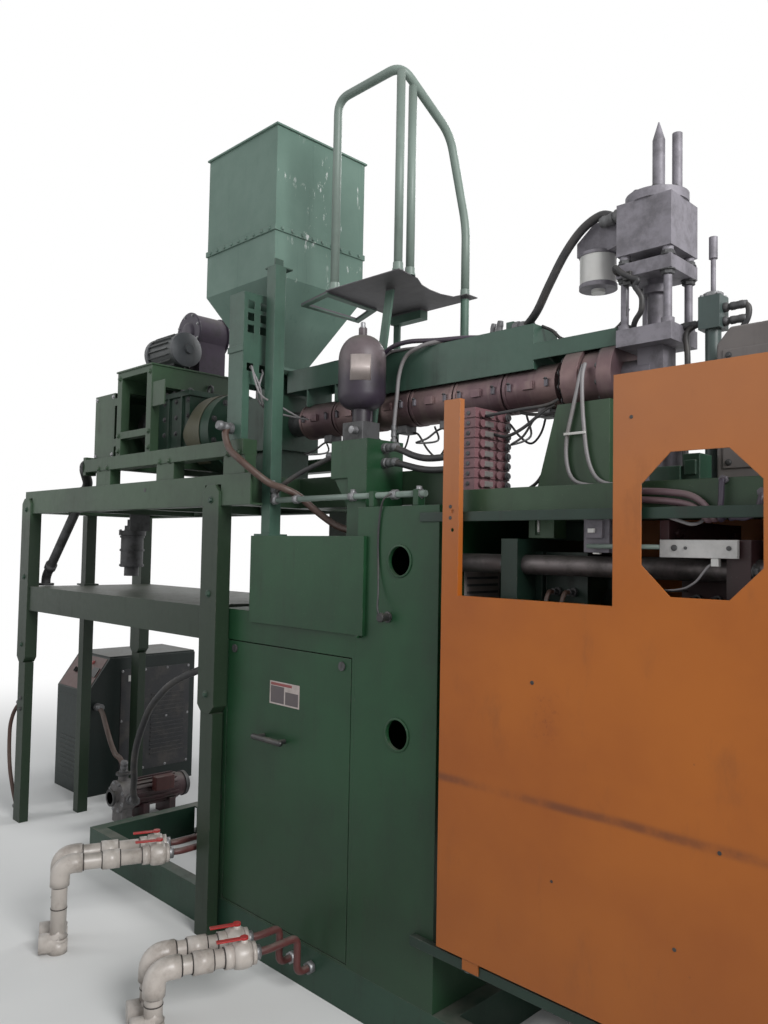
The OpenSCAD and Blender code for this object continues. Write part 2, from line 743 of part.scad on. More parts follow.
module platform_frame() {
    beam_y = 10;
    beam_w = 60;
    beam_y1 = plat_y0 + beam_y + beam_w;
    leg_in = (sleeve_w - leg_w)/2;
    low = plat_top - 40 - sleeve_len + 10;
    right_leg = -884;
    deck_x0 = plat_x0 + 660;
    deck_x1 = plat_x1 - 80;
    color("#39855a") {
        for (x = [plat_x0, right_leg], y = [plat_y0, plat_y1 - sleeve_d]) {
            sleeve(x, y);
            block([x + leg_in, y + 8, 0], [x + leg_in + leg_w, y + 8 + leg_d, low]);
        }
        for (back = [false, true]) {
            y = back ? plat_y1 - beam_y - beam_w : plat_y0 + beam_y;
            channel(plat_x0 + sleeve_w, right_leg, y, plat_top - plat_beam, beam_w, plat_beam, 8, back);
            block([right_leg, y, plat_top - 40], [right_leg + sleeve_w, y + beam_w, plat_top]);
            block([plat_x0 + 20, y, plat_top - 40], [plat_x0 + sleeve_w, y + beam_w, plat_top]);
            channel(right_leg + sleeve_w, plat_x1, y, plat_top - plat_beam, beam_w, plat_beam, 8, back);
            channel(plat_x0 + sleeve_w, right_leg, y, deck_top - deck_beam, beam_w, deck_beam, 8, back);
        }
        for (x = [plat_x0 + sleeve_w + 10, deck_x0, -1500, deck_x1 - 60])
            block([x, beam_y1, plat_top - plat_beam], [x + 60, 2*axis_y - beam_y1, plat_top]);
        for (x = [plat_x0 + sleeve_w, -1500, right_leg - 60])
            block([x, beam_y1, deck_top - deck_beam], [x + 60, 2*axis_y - beam_y1, deck_top]);
        block([plat_x0 + 90, 260, 0], [plat_x0 + 150, 320, plat_top - plat_beam]);
        block([plat_x0 + 70, 245, deck_top], [plat_x0 + 170, 335, deck_top + 10]);
        block([deck_x1, axis_y - 64, plat_top - plat_beam], [200, axis_y + 64, plat_top]);
        block([20, axis_y - 64, col_top], [180, axis_y + 64, plat_top - plat_beam]);
    }
    color("#2c5f47") {
        block([deck_x0, beam_y1, plat_top - deck_t], [deck_x1, 2*axis_y - beam_y1, plat_top]);
        block([plat_x0 + sleeve_w, beam_y1, deck_top - deck_t], [right_leg, 2*axis_y - beam_y1, deck_top]);
    }
}

module drive_rails() {
    spacer_h = rail_z0 - plat_top;
    color("#39855a") {
        for (y = [-rail_out, back_rail_y]) {
            block([rail_x0, y, rail_z0], [rail_x1, y + rail_w, rail_top]);
            block([rail_x0 - 30, y + 6, rail_z0 - 14], [rail_x0, y + rail_w - 6, rail_top + 16]);
        }
        for (x = [-1900, -1300, -760]) {
            block([x, plat_y0 + 15, plat_top], [x + 150, plat_y0 + 70, rail_z0]);
            block([x, plat_y1 - 70, plat_top], [x + 150, plat_y1 - 15, rail_z0]);
        }
        for (x = [gear_x1 - gear_len, gear_x1 - 60])
            block([x, rail_w - rail_out, rail_z0], [x + 60, back_rail_y, rail_top]);
    }
}

module drive_frame() {
    x1 = dframe_x0 + dframe_w;
    y1 = dframe_y0 + dframe_d;
    top = dframe_top - 8;
    guard_x = -2068;
    guard_w = 215;
    guard_top = 2379;
    guard_y = rail_w - rail_out;
    guard_y1 = motor_y + 90;
    sheet = 3;
    color("#3b8560") {
        for (x = [dframe_x0, x1 - dframe_post], y = [dframe_y0, y1 - dframe_post])
            block([x, y, rail_top], [x + dframe_post, y + dframe_post, top - 31]);
        for (x = [dframe_x0, x1 - dframe_post])
            block([x, dframe_y0 + dframe_post, top - dframe_beam], [x + dframe_post, y1 - dframe_post, top - 31]);
        block([dframe_x0, dframe_y0, top - 31], [x1, y1, top]);
        block([dframe_x0 - 6, dframe_y0 - 6, top], [x1 + 6, y1 + 6, dframe_top]);
        block([dframe_x0 + dframe_post, dframe_y0, 2130], [x1 - dframe_post, dframe_y0 + 40, 2165]);
        block([x1, dframe_y0 + 4, 2265], [x1 + 115, dframe_y0 + 10, 2384]);
        block([dframe_x0, y1, rail_z0 + 20], [dframe_x0 + dframe_post, back_rail_y, rail_top]);
        block([x1 - dframe_post, y1, rail_z0 + 20], [x1, back_rail_y, rail_top]);
        for (x = [dframe_x0, x1 - dframe_post])
            block([x, y1 - dframe_post, rail_z0 + 20], [x + dframe_post, y1, rail_top]);
    }
    color("#275a42") {
        difference() {
            block([guard_x, guard_y, rail_top], [guard_x + guard_w, guard_y1, guard_top]);
            block([guard_x + sheet, guard_y + sheet, rail_top - 1],
                [guard_x + guard_w + 1, guard_y1 - sheet, guard_top - sheet]);
        }
        for (z = [2100, 2310])
            block([guard_x + guard_w, guard_y, z], [dframe_x0, guard_y + 6, z + 40]);
    }
}

// Outline of a belt round two pulleys, set back by the radii a (screw side) and b (motor side)
function belt_line(a, b) = let (tilt = asin((a - b)/motor_back)) concat(
    [for (t = [90 - tilt:(180 + 2*tilt)/14:270.1 + tilt]) [axis_y + a*cos(t), shaft_z + a*sin(t)]],
    [for (t = [-90 + tilt:(180 - 2*tilt)/10:90.1 - tilt]) [motor_y + b*cos(t), shaft_z + b*sin(t)]]);

module gearbox() {
    x0 = gear_x1 - gear_len;
    thrust_x1 = -1130;
    y0 = axis_y - gear_w/2;
    y1 = axis_y + gear_w/2;
    color("#2f6e50") difference() {
        union() {
            block([x0, y0, rail_top], [gear_x1, y1, rail_top + 30]);
            block([x0 + 12, y0 + 12, rail_top + 30], [gear_x1 - 12, y1 - 12, rail_top + 300]);
            block([x0, y0, rail_top + 300], [gear_x1, y1, rail_top + 326]);
            for (x = [x0 + 60, x0 + 180, x0 + 300])
                block([x, y0, rail_top + 30], [x + 14, y1, rail_top + 300]);
            bar_x(x0 - 14, x0 + 12, axis_y, shaft_z, 52);
            bar_x(gear_x1 - 12, thrust_x1, axis_y, screw_z, thrust_r);
            bar_x(-1330, -1170, axis_y, screw_z, cowl_r);
        }
        bar_x(x0 - 15, x0 + 90, axis_y, shaft_z, input_r + run);
        bar_x(gear_x1 - 200, thrust_x1 + 1, axis_y, screw_z, screw_r + run);
    }
}

// Grooved pulley on its shaft along X
module pulley(r, y, shaft_x1) {
    difference() {
        bar_x(pulley_x - 30, pulley_x + 30, y, shaft_z, r);
        for (x = [-18, 0, 18]) translate([pulley_x + x - 7, y, shaft_z]) rotate([0, 90, 0]) difference() {
            cylinder(r = r + 1, h = 14);
            translate([0, 0, -1]) cylinder(r = r - 9, h = 16);
        }
    }
    bar_x(pulley_x - 45, shaft_x1, y, shaft_z, input_r);
}
module gearbox_pulley() { color("#4a4d4f") pulley(big_pulley_r, axis_y, gear_x1 - gear_len + 80); }
module motor_pulley() { color("#4a4d4f") pulley(small_pulley_r, motor_y, -1710); }

module drive_belts() {
    color("#1c1d1e") for (x = [-18, 0, 18]) translate([pulley_x + x - 6.5, 0, 0]) rotate([90, 0, 90])
        linear_extrude(13) difference() {
            polygon(belt_line(big_pulley_r + 2, small_pulley_r + 2));
            polygon(belt_line(big_pulley_r - 8, small_pulley_r - 8));
        }
}

module drive_motor() {
    x0 = -1780;
    x1 = -1400;
    color("#35664f") difference() {
        union() {
            bar_x(x0, x0 + 40, motor_y, shaft_z, motor_r);
            bar_x(x0 + 40, x1 - 60, motor_y, shaft_z, motor_r - 10);
            bar_x(x1 - 60, x1, motor_y, shaft_z, motor_r - 3);
            for (a = [7.5:15:352.5]) translate([x0 + 40, motor_y, shaft_z]) rotate([a, 0, 0])
                block([0, motor_r - 16, -2], [x1 - x0 - 100, motor_r - 5, 2]);
            for (x = [x0 + 70, x1 - 130]) block([x, back_rail_y + 2, rail_top], [x + 50, back_rail_y + 68, shaft_z]);
            block([x0 + 120, motor_y - 46, shaft_z + 80], [x0 + 240, motor_y + 46, shaft_z + 145]);
        }
        bar_x(x0 - 1, x0 + 81, motor_y, shaft_z, input_r + run);
    }
}

// Blower on the drive frame: finned motor along X and a round scroll with its flat outlet
module cooling_fan() {
    fan_z = dframe_top + 122;
    scroll_y = 430;
    scroll_z = dframe_top + 190;
    color("#5a5f63") {
        bar_x(-1790, -1570, 240, fan_z, 82);
        for (a = [0:20:340]) translate([-1780, 240, fan_z]) rotate([a, 0, 0]) block([0, 78, -2], [180, 94, 2]);
        block([-1750, 196, dframe_top], [-1612, 284, fan_z - 60]);
    }
    color("#4b4a5c") {
        bar_y(-1700, scroll_y - 90, scroll_y + 90, scroll_z + 60, 105);
        block([-1790, scroll_y - 80, dframe_top], [-1610, scroll_y + 80, scroll_z + 60]);
        bar_y(-1700, 334, scroll_y - 90, scroll_z + 60, 40);
    }
}

// Section of the screw across its axis: the root and the land of the flight
module screw_section(root) {
    half = 180*flight_land/flight_pitch;
    tip_r = screw_r - seat;
    circle(r = root, $fn = 10);
    polygon([[0, 0], tip_r*[cos(half), -sin(half)], [tip_r, 0], tip_r*[cos(half), sin(half)]]);
}

module screw() {
    x0 = gear_x1 - 190;
    tip_x = barrel_x1 - 50;
    root = screw_r - flight_h;
    len = tip_x - flight_x0;
    color("#8d9094") {
        bar_x(x0, flight_x0, axis_y, screw_z, screw_r);
        translate([flight_x0, axis_y, screw_z]) rotate([0, 90, 0]) linear_extrude(len,
            twist = -360*len/flight_pitch, slices = ceil(9*len/flight_pitch), $fn = 12) screw_section(root);
        translate([tip_x, axis_y, screw_z]) rotate([0, 90, 0]) cylinder(r1 = root - 2, r2 = 4, h = 40);
    }
}

module barrel() {
    color("#63676a") difference() {
        bar_x(-1130, barrel_x1, axis_y, screw_z, barrel_r);
        bar_x(-1131, barrel_x1 + 1, axis_y, screw_z, screw_r + run);
        block([throat_x - 30, axis_y - 30, screw_z], [throat_x + 30, axis_y + 30, screw_z + barrel_r + 1]);
    }
}

module heater_bands() {
    total = barrel_x1 - 40 - heat_x0;
    len = (total - (heaters - 1)*heater_gap)/heaters;
    color("#a9927b") for (i = [0:heaters - 1]) translate([heat_x0 + i*(len + heater_gap), 0, 0]) {
        difference() {
            bar_x(0, len, axis_y, screw_z, heater_r);
            bar_x(-1, len + 1, axis_y, screw_z, barrel_r + seat);
        }
        difference() {
            block([len/2 - 20, axis_y - heater_r - 9, screw_z - 14], [len/2 + 20, axis_y - heater_r + 12, screw_z + 14]);
            bar_x(len/2 - 21, len/2 + 21, axis_y, screw_z, heater_r - 1);
        }
    }
}

// Folded hood with end saddles cut to the round part that it sits on
module hood(x0, x1, z0, z1, saddles, r) {
    y0 = axis_y - cover_w/2;
    y1 = axis_y + cover_w/2;
    difference() {
        block([x0, y0, z0], [x1, y1, z1]);
        block([x0 + cover_t, y0 + cover_t, z0 - 1], [x1 - cover_t, y1 - cover_t, z1 - cover_t]);
        bar_x(x0 - 1, x1 + 1, axis_y, screw_z, r + seat);
    }
    for (x = saddles) difference() {
        block([x, y0, screw_z + 56], [x + 5, y1, z1 - cover_t]);
        bar_x(x - 1, x + 6, axis_y, screw_z, r + seat);
    }
}
module barrel_cover() {
    color("#b9bdbb") {
        hood(cover_x0, cover_x1, cover_z, cover_z + cover_h, [cover_x0 + 200, cover_x0 + 460], heater_r);
        hood(-735, -391, 2276, 2372, [-600, -420], heater_r);
        hood(cover_x1, head_x0 - 8, 2230, 2284, [], adapter_r);
        block([410, axis_y - 18, cover_z + cover_h], [440, axis_y + 18, cover_z + cover_h + 40]);
    }
}

module adapter() {
    x1 = head_x0 - 6;
    bolt_ring = adapter_r - 20;
    color("#8a4b41") difference() {
        union() {
            bar_x(barrel_x1, barrel_x1 + 60, axis_y, screw_z, adapter_r);
            bar_x(barrel_x1 + 60, x1 - 50, axis_y, screw_z, adapter_r - 18);
            bar_x(x1 - 50, x1, axis_y, screw_z, adapter_r);
            for (a = [15:30:345]) translate([0, axis_y, screw_z]) rotate([a, 0, 0])
                bar_x(barrel_x1 - 12, barrel_x1, bolt_ring, 0, 9);
        }
        bar_x(barrel_x1 - 1, x1 + 1, axis_y, screw_z, 18);
    }
}

module feed_throat() {
    x0 = throat_x - throat_w;
    x1 = throat_x + throat_w;
    y0 = axis_y - throat_w;
    y1 = axis_y + throat_w;
    neck = hop_out/2 + 10;
    rib = 18;
    color("#2f6b52") difference() {
        union() {
            block([x0, y0, screw_z - throat_w], [x1, y1, screw_z + throat_w]);
            block([x0 + 30, y0 + 30, plat_top], [x1 - 30, y1 - 30, screw_z - throat_w]);
            block([x0, y0, plat_top], [x1, y1, plat_top + 16]);
            block([throat_x - neck, axis_y - neck, screw_z + throat_w], [throat_x + neck, axis_y + neck, throat_top]);
            block([x0, y0, throat_top - 12], [x1, y1, throat_top]);
            for (x = [x0, x1 - rib]) block([x, y0, throat_top], [x + rib, y1, throat_top + gate_t + 2*seat]);
        }
        bar_x(x0 - 1, x1 + 1, axis_y, screw_z, barrel_r + seat);
        block([throat_x - hop_out/2 + 12, axis_y - hop_out/2 + 12, screw_z],
            [throat_x + hop_out/2 - 12, axis_y + hop_out/2 - 12, throat_top + 1]);
    }
}

module slide_gate() {
    half = throat_w - 18 - seat;
    z = throat_top + seat;
    color("#7d8285") {
        block([throat_x - half, axis_y - throat_w - 20, z], [throat_x + half, axis_y + throat_w, z + gate_t]);
        block([throat_x - 40, axis_y - throat_w - 32, z - 14], [throat_x + 40, axis_y - throat_w - 20, z + gate_t + 14]);
    }
}

module hopper() {
    z0 = throat_top + gate_t + 3*seat;
    neck_z = z0 + 26;
    grow = hop_w/hop_out;
    grow_in = (hop_w - 2*hop_t)/(hop_out - 2*hop_t);
    flange = throat_w;
    color("#3c9a6c") {
        difference() {
            union() {
                translate([throat_x, axis_y, z0]) linear_extrude(8) square(2*flange, center = true);
                translate([throat_x, axis_y, z0]) linear_extrude(neck_z - z0) square(hop_out, center = true);
                translate([throat_x, axis_y, neck_z]) linear_extrude(hop_z0 - neck_z, scale = grow)
                    square(hop_out, center = true);
                block([hop_x0, hop_y0, hop_z0], [hop_x0 + hop_w, hop_y0 + hop_w, hop_top]);
                block([hop_x0 - 6, hop_y0 - 6, hop_z0 + seam_up - 12], [hop_x0 + hop_w + 6, hop_y0 + hop_w + 6,
                    hop_z0 + seam_up + 12]);
                block([hop_x0 - 8, hop_y0 - 8, hop_top - 8], [hop_x0 + hop_w + 8, hop_y0 + hop_w + 8, hop_top]);
            }
            translate([throat_x, axis_y, z0 - 1]) linear_extrude(neck_z - z0 + 1.01)
                square(hop_out - 2*hop_t, center = true);
            translate([throat_x, axis_y, neck_z]) linear_extrude(hop_z0 - neck_z, scale = grow_in)
                square(hop_out - 2*hop_t, center = true);
            block([hop_x0 + hop_t, hop_y0 + hop_t, hop_z0 - 0.01],
                [hop_x0 + hop_w - hop_t, hop_y0 + hop_w - hop_t, hop_top + 1]);
        }
    }
}

module hopper_post() {
    y0 = 20;
    bracket_x = hop_x0 + hop_w + seat;
    top = hop_z0 + 6;
    color("#3c9a6c") {
        block([post_x0, y0, ubox_top], [post_x1, y0 + post_w, top]);
        block([post_x0 - 20, 0, ubox_top], [post_x1 + 20, y0 + post_w + 20, ubox_top + 10]);
        block([bracket_x, y0, top], [post_x1, y0 + post_w + 35, top + 6]);
        block([bracket_x, hop_y0, top + 6], [bracket_x + 6, y0 + post_w + 35, top + 60]);
    }
}

module cable_duct() {
    x0 = -735;
    y0 = -60;
    wall = 2;
    mid_z = 2261;
    color("#2e7c5a") {
        difference() {
            block([x0, y0, mid_z], [x0 + duct_w, y0 + duct_d, duct_top]);
            block([x0 + wall, y0 + wall, mid_z - 1], [x0 + duct_w - wall, y0 + duct_d - wall, duct_top + 1]);
            for (z = [2332, 2490, 2540, 2590], y = [-24, 38])
                block([x0 + duct_w - wall - 1, y - duct_hole/2, z - duct_hole/2],
                    [x0 + duct_w + 1, y + duct_hole/2, z + duct_hole/2]);
        }
        block([x0 - 4, y0 - 4, duct_joint - 6], [x0 + duct_w + 4, y0, duct_joint + 20]);
        difference() {
            block([x0, y0, rail_top], [x0 + duct_w, y0 + 35, mid_z]);
            block([x0 + wall, y0 + wall, rail_top - 1], [x0 + duct_w - wall, y0 + 36, mid_z + 1]);
        }
    }
}

// Curved foot sheet on a stiffener, a strut, a flat leg and a round post, with a ring of flat bars beside it
module service_platform() {
    beam = 40;
    leg_x = walk_x0 - 54;
    strut_y = bottle_y + bottle_r + 0.5;
    ring = [[-511, 135], [-300, 94], [-324, 390], [-516, 467]];
    inner = [[-487, 155], [-334, 126], [-351, 372], [-491, 430]];
    color("#8d8a80") {
        translate([0, 0, walk_z]) linear_extrude(walk_t) polygon([[walk_x0, walk_y0], [walk_x1, walk_y0 + 8],
            [walk_x1 - 24, walk_y0 + 134], [walk_x1 - 62, walk_y0 + 200], [walk_x1 - 78, walk_y0 + 262],
            [walk_x1 - 82, walk_y0 + 330], [walk_x1 - 66, walk_y1 - 74], [walk_x1 - 4, walk_y1 - 68],
            [walk_x1 - 4, walk_y1], [leg_x, walk_y1]]);
        translate([0, 0, walk_z - 10]) linear_extrude(12) difference() {
            polygon(ring);
            polygon(inner);
        }
        translate([0, strut_y + 10, 0]) rotate([90, 0, 0]) linear_extrude(10)
            polygon([[-215, stand_top], [-175, stand_top], [-76, walk_z + 1], [-116, walk_z + 1]]);
        block([leg_x + 6, walk_y1 - 50, walk_z - beam], [leg_x + 180, walk_y1 - 5, walk_z + 1]);
        block([leg_x + 6, walk_y1 - 30, cab_top], [leg_x + 38, walk_y1 - 18, walk_z - beam + 1]);
        block([leg_x - 8, walk_y1 - 44, cab_top], [leg_x + 52, walk_y1 - 4, cab_top + 8]);
        bar_z(walk_post[0], walk_post[1], col_top, walk_z + 1, tube_r);
        bar_z(walk_post[0], walk_post[1], col_top, col_top + 8, tube_r + 18);
    }
}

module hand_rail() {
    x0 = walk_x0 + 23;
    x1 = walk_x1 - 24;
    y0 = walk_y0 + 26;
    z0 = walk_z + walk_t;
    top = z0 + rail_up;
    end = walk_post;
    color("#7d8a80") {
        tube(bent([[x0, y0, z0], [x0, y0, top], [x1, y0, top], [x1 - 3, y0 + 282, top - 153],
            [end[0], end[1], top - 479], [end[0], end[1], z0]], 60), tube_r, 12);
        tube([[x1, y0, z0], [x1, y0, top - tube_r]], tube_r - 1, 12);
        tube([[x1 - 6, y0 + 70, z0], [x1 - 6, y0 + 70, top - 47]], tube_r - 1, 12);
        for (p = [[x0, y0], [x1, y0], [x1 - 6, y0 + 70], end]) bar_z(p[0], p[1], z0, z0 + 8, tube_r + 4);
    }
}

module bottle_stand() {
    x0 = -217;
    x1 = -24;
    post_w = 100;
    y1 = 250;
    low = stand_top - 141;
    color("#2c7453") {
        block([x0, 60, low], [x1, y1, stand_top]);
        block([x1 - post_w, 60, ubox_top], [x1, y1, low]);
        translate([0, 80, 0]) rotate([90, 0, 0]) linear_extrude(10)
            polygon([[x1 - post_w, low - 120], [x1 - post_w, low], [x0 + 10, low]]);
    }
}

module bladder_bottle() {
    shell = bottle_len;
    z0 = stand_top + 90;
    bend = 60;
    color("#1f6b57") {
        translate([bottle_x, bottle_y, z0]) rotate_extrude() difference() {
            union() {
                translate([0, bend]) square([bottle_r, shell - 2*bend]);
                intersection() {
                    translate([0, bend]) scale([1, 1]) circle(r = bottle_r);
                    square([bottle_r, bend]);
                }
                intersection() {
                    translate([0, shell - bend]) circle(r = bottle_r);
                    translate([0, shell - bend]) square([bottle_r, bend]);
                }
            }
        }
        bar_z(bottle_x, bottle_y, z0 + shell - 1, z0 + shell + 30, 26);
        bar_z(bottle_x, bottle_y, stand_top + 70, z0 + 1, 40);
    }
    color("#3b4144") {
        block([bottle_x - 55, bottle_y - 45, stand_top], [bottle_x + 55, bottle_y + 45, stand_top + 70]);
        bar_y(bottle_x + 20, bottle_y - 70, bottle_y - 45, stand_top + 36, 14);
    }
}

module valve_stack() {
    rows = 8;
    x0 = col_w + 4;
    top = 2068;
    pitch = (top - table_top - 12)/rows;
    color("#8a6d6c") block([x0, 100, table_top], [x0 + 56, 290, table_top + 12]);
    for (i = [0:rows - 1]) translate([0, 0, table_top + 12 + i*pitch]) {
        color(i%2 == 0 ? "#b27f7d" : "#8f9391") block([x0, 100, 0], [x0 + 56, 290, pitch - 5]);
        color("#5d6163") block([x0 + 4, 104, pitch - 5], [x0 + 52, 286, pitch]);
        color("#3f4346") for (y = [130, 175, 220, 262]) bar_x(x0 + 56, x0 + 66, y, pitch/2 - 2, 13);
    }
}

module head_body() {
    neck = 41;
    color("#75797a") difference() {
        union() {
            bar_z(head_x, axis_y, table_top, table_top + flange_t, flange_r);
            bar_z(head_x, axis_y, table_top - 10, 2120, head_r);
            bar_z(head_x, axis_y, die_z + 20, table_top, 60);
            bar_z(head_x, axis_y, die_z, die_z + 20, 45);
            block([head_x - neck, axis_y - neck, 2100], [head_x + neck, axis_y + neck, low_plate_top - 52]);
            bar_x(head_x0 - 6, head_x, axis_y, screw_z, 45);
            for (a = [22.5:45:360]) translate([head_x, axis_y, 0]) rotate(a)
                bar_z(head_r + 28, 0, table_top + flange_t, table_top + flange_t + 14, 11);
        }
        bar_z(head_x, axis_y, 2040, low_plate_top, ram_r + run);
    }
}

module head_frame() {
    low = low_plate_top - 52;
    off = head_w/2 - 19;
    color("#7d8182") difference() {
        union() {
            block([head_x0, axis_y - head_w/2, low], [head_x0 + head_w, axis_y + head_w/2, low_plate_top]);
            block([head_x0, axis_y - head_w/2, up_plate_z], [head_x0 + head_w, axis_y + head_w/2, up_plate_z + 41]);
            for (x = [-off, off], y = [-off, off]) {
                bar_z(head_x + x, axis_y + y, low_plate_top, up_plate_z, head_col_r);
                bar_z(head_x + x, axis_y + y, low_plate_top, low_plate_top + 14, head_col_r + 7);
                bar_z(head_x + x, axis_y + y, up_plate_z + 41, up_plate_z + 67, 16);
            }
        }
        bar_z(head_x, axis_y, low - 1, up_plate_z + 42, ram_r + run);
    }
}

module head_block() {
    z0 = up_plate_z + 67;
    color("#6f7475") {
        difference() {
            union() {
                block([head_x0, axis_y - head_w/2, z0], [head_x0 + head_w, axis_y + head_w/2, block_top]);
                bar_z(head_x, axis_y, block_top, block_top + 28, 93);
            }
            bar_z(head_x, axis_y, z0 - 1, block_top - 14, ram_r + run);
        }
        bar_z(head_x + 5, axis_y, block_top + 28, block_top + 204, 18.5);
        translate([head_x + 5, axis_y, block_top + 204]) cylinder(r1 = 18.5, r2 = 2, h = 56);
        bar_z(head_x + 52, axis_y + 25, block_top + 28, block_top + 218, 15);
        translate([0, axis_y + 35, 0]) rotate([90, 0, 0]) linear_extrude(70)
            polygon([[head_x0, block_top - 92], [head_x0, block_top - 2], [760, block_top - 12], [700, block_top - 62],
                [700, block_top - 107], [815, block_top - 107]]);
    }
}

module push_ram() {
    top = block_top - 80;
    color("#b4b8ba") {
        bar_z(head_x, axis_y, low_plate_top - 110, top, ram_r);
        bar_z(head_x, axis_y, up_plate_z - 46, up_plate_z - 22, 40);
    }
}

module oil_can() {
    top = block_top - 107;
    color("#9aa29d") {
        bar_z(757, axis_y, top - 104, top, 58);
        bar_z(757, axis_y, top - 118, top - 104, 22);
    }
}

module side_cylinder() {
    body_z = 2242;
    body_top = 2337;
    color("#4d5254") difference() {
        union() {
            bar_z(side_x, axis_y, table_top, body_z, 22);
            bar_z(side_x, axis_y, table_top, table_top + 16, 38);
            block([side_x - 31, axis_y - 31, body_z], [side_x + 31, axis_y + 31, body_top]);
            for (z = [table_top + 120, 2040]) bar_z(side_x, axis_y, z, z + 26, 31);
        }
        bar_z(side_x, axis_y, 2140, body_top + 1, side_rod_r + run);
    }
}
module side_rod() {
    color("#b4b8ba") {
        bar_z(side_x, axis_y, 2245, 2450, side_rod_r);
        bar_z(side_x, axis_y, 2450, 2513, 12);
    }
}

module power_unit() {
    color("#39644f") translate([unit_x0, 0, 0]) rotate([90, 0, 90]) linear_extrude(unit_w)
        polygon([[unit_y0, 0], [unit_y0 + unit_d, 0], [unit_y0 + unit_d, unit_h - 12], [panel_y, unit_h - 12],
            [unit_y0, panel_z0]]);
    color("#c9cdcb") block([unit_x0 + 4, panel_y, unit_h - 18], [unit_x0 + unit_w - 4, unit_y0 + unit_d - 4, unit_h]);
}
module knob(x) {
    translate([x, (unit_y0 + panel_y)/2, (panel_z0 + unit_h - 12)/2]) rotate([panel_tilt, 0, 0]) {
        translate([0, 0, seat]) cylinder(r = knob_r, h = 18);
        translate([0, 0, 18]) block([-3, -knob_r, 0], [3, knob_r, 8]);
    }
}
module knob_left() { color("#17191a") knob(unit_x0 + unit_w*0.3); }
module knob_right() { color("#17191a") knob(unit_x0 + unit_w*0.62); }

module water_pump() {
    x = -2335;
    z = 150;
    color("#6e4237") {
        bar_y(x, 420, 720, z, 75);
        bar_y(x, 720, 760, z, 68);
        for (a = [0:20:340]) translate([x, 430, z]) rotate([0, a, 0]) block([-2, 0, 70], [2, 270, 84]);
        for (y = [470, 640]) block([x - 80, y, 0], [x + 80, y + 40, z - 50]);
    }
    color("#3d4a4b") {
        bar_y(x, 340, 420, z, 90);
        bar_y(x, 300, 340, z, 34);
        bar_z(x, 380, z + 60, z + 130, 28);
        block([x - 60, 350, 0], [x + 60, 410, z - 60]);
    }
}

module hanging_pump() {
    x = -2225;
    y = 330;
    color("#3f4a48") {
        bar_z(x, y, 1470, 1650, 62);
        bar_z(x, y, 1650, 1676, 74);
        bar_z(x, y, 1420, 1470, 40);
        bar_z(x, y, 1676, 1740, 30);
        block([x + 20, y - 60, 1676], [plat_x0 + 660, y + 60, 1700]);
        block([x + 20, y - 60, 1700], [plat_x0 + 660, y + 60, 1704]);
        block([plat_x0 + 648, y - 60, 1700], [plat_x0 + 660, y + 60, plat_top]);
    }
}

module hoses() {
    color("#2a2523") {
        tube(head_hose, 14);
        tube(black_hose, 10);
        tube(upper_hose, 12);
        tube(lower_hose, 12);
        tube(pump_hose, 18);
    }
    color("#6b3f2c") {
        tube(brown_hose, 14);
        tube(unit_hose, 15);
    }
}

// A pair of water pipes with risers, elbows and ball valves, laid along local X from its elbows
module pipe_pair(x, y, z, yaw, len) {
    translate([x, y, 0]) rotate(yaw) for (side = [0, -pair_gap]) translate([0, side, 0]) {
        tube(bent([[0, 0, 0], [0, 0, z], [len, 0, z]], 45), pvc_r, 12);
        bar_z(0, 0, 0, 40, socket_r);
        bar_x(60, 120, 0, z, socket_r);
        bar_x(len - 30, len + 40, 0, z, socket_r);
        bar_z(len + 5, 0, z, z + 52, 12);
    }
}
module water_pipes() {
    color("#d5d9da") {
        pipe_pair(-1200, -490, 335, 66, 372);
        pipe_pair(-437, -513, 215, 68, 290);
    }
}

// Lever of a ball valve on a pair of pipes
module valve_lever(x, y, z, yaw, len, side) {
    translate([x, y, 0]) rotate(yaw) translate([len + 5, side, z + 52 + seat]) {
        cylinder(r = 14, h = 8);
        block([-lever_len, -9, 0], [-10, 9, 5]);
    }
}
module valve_lever_a() { color("#b8343a") valve_lever(-1200, -490, 335, 66, 372, 0); }
module valve_lever_b() { color("#b8343a") valve_lever(-1200, -490, 335, 66, 372, -pair_gap); }
module valve_lever_c() { color("#b8343a") valve_lever(-437, -513, 215, 68, 290, 0); }
module valve_lever_d() { color("#b8343a") valve_lever(-437, -513, 215, 68, 290, -pair_gap); }

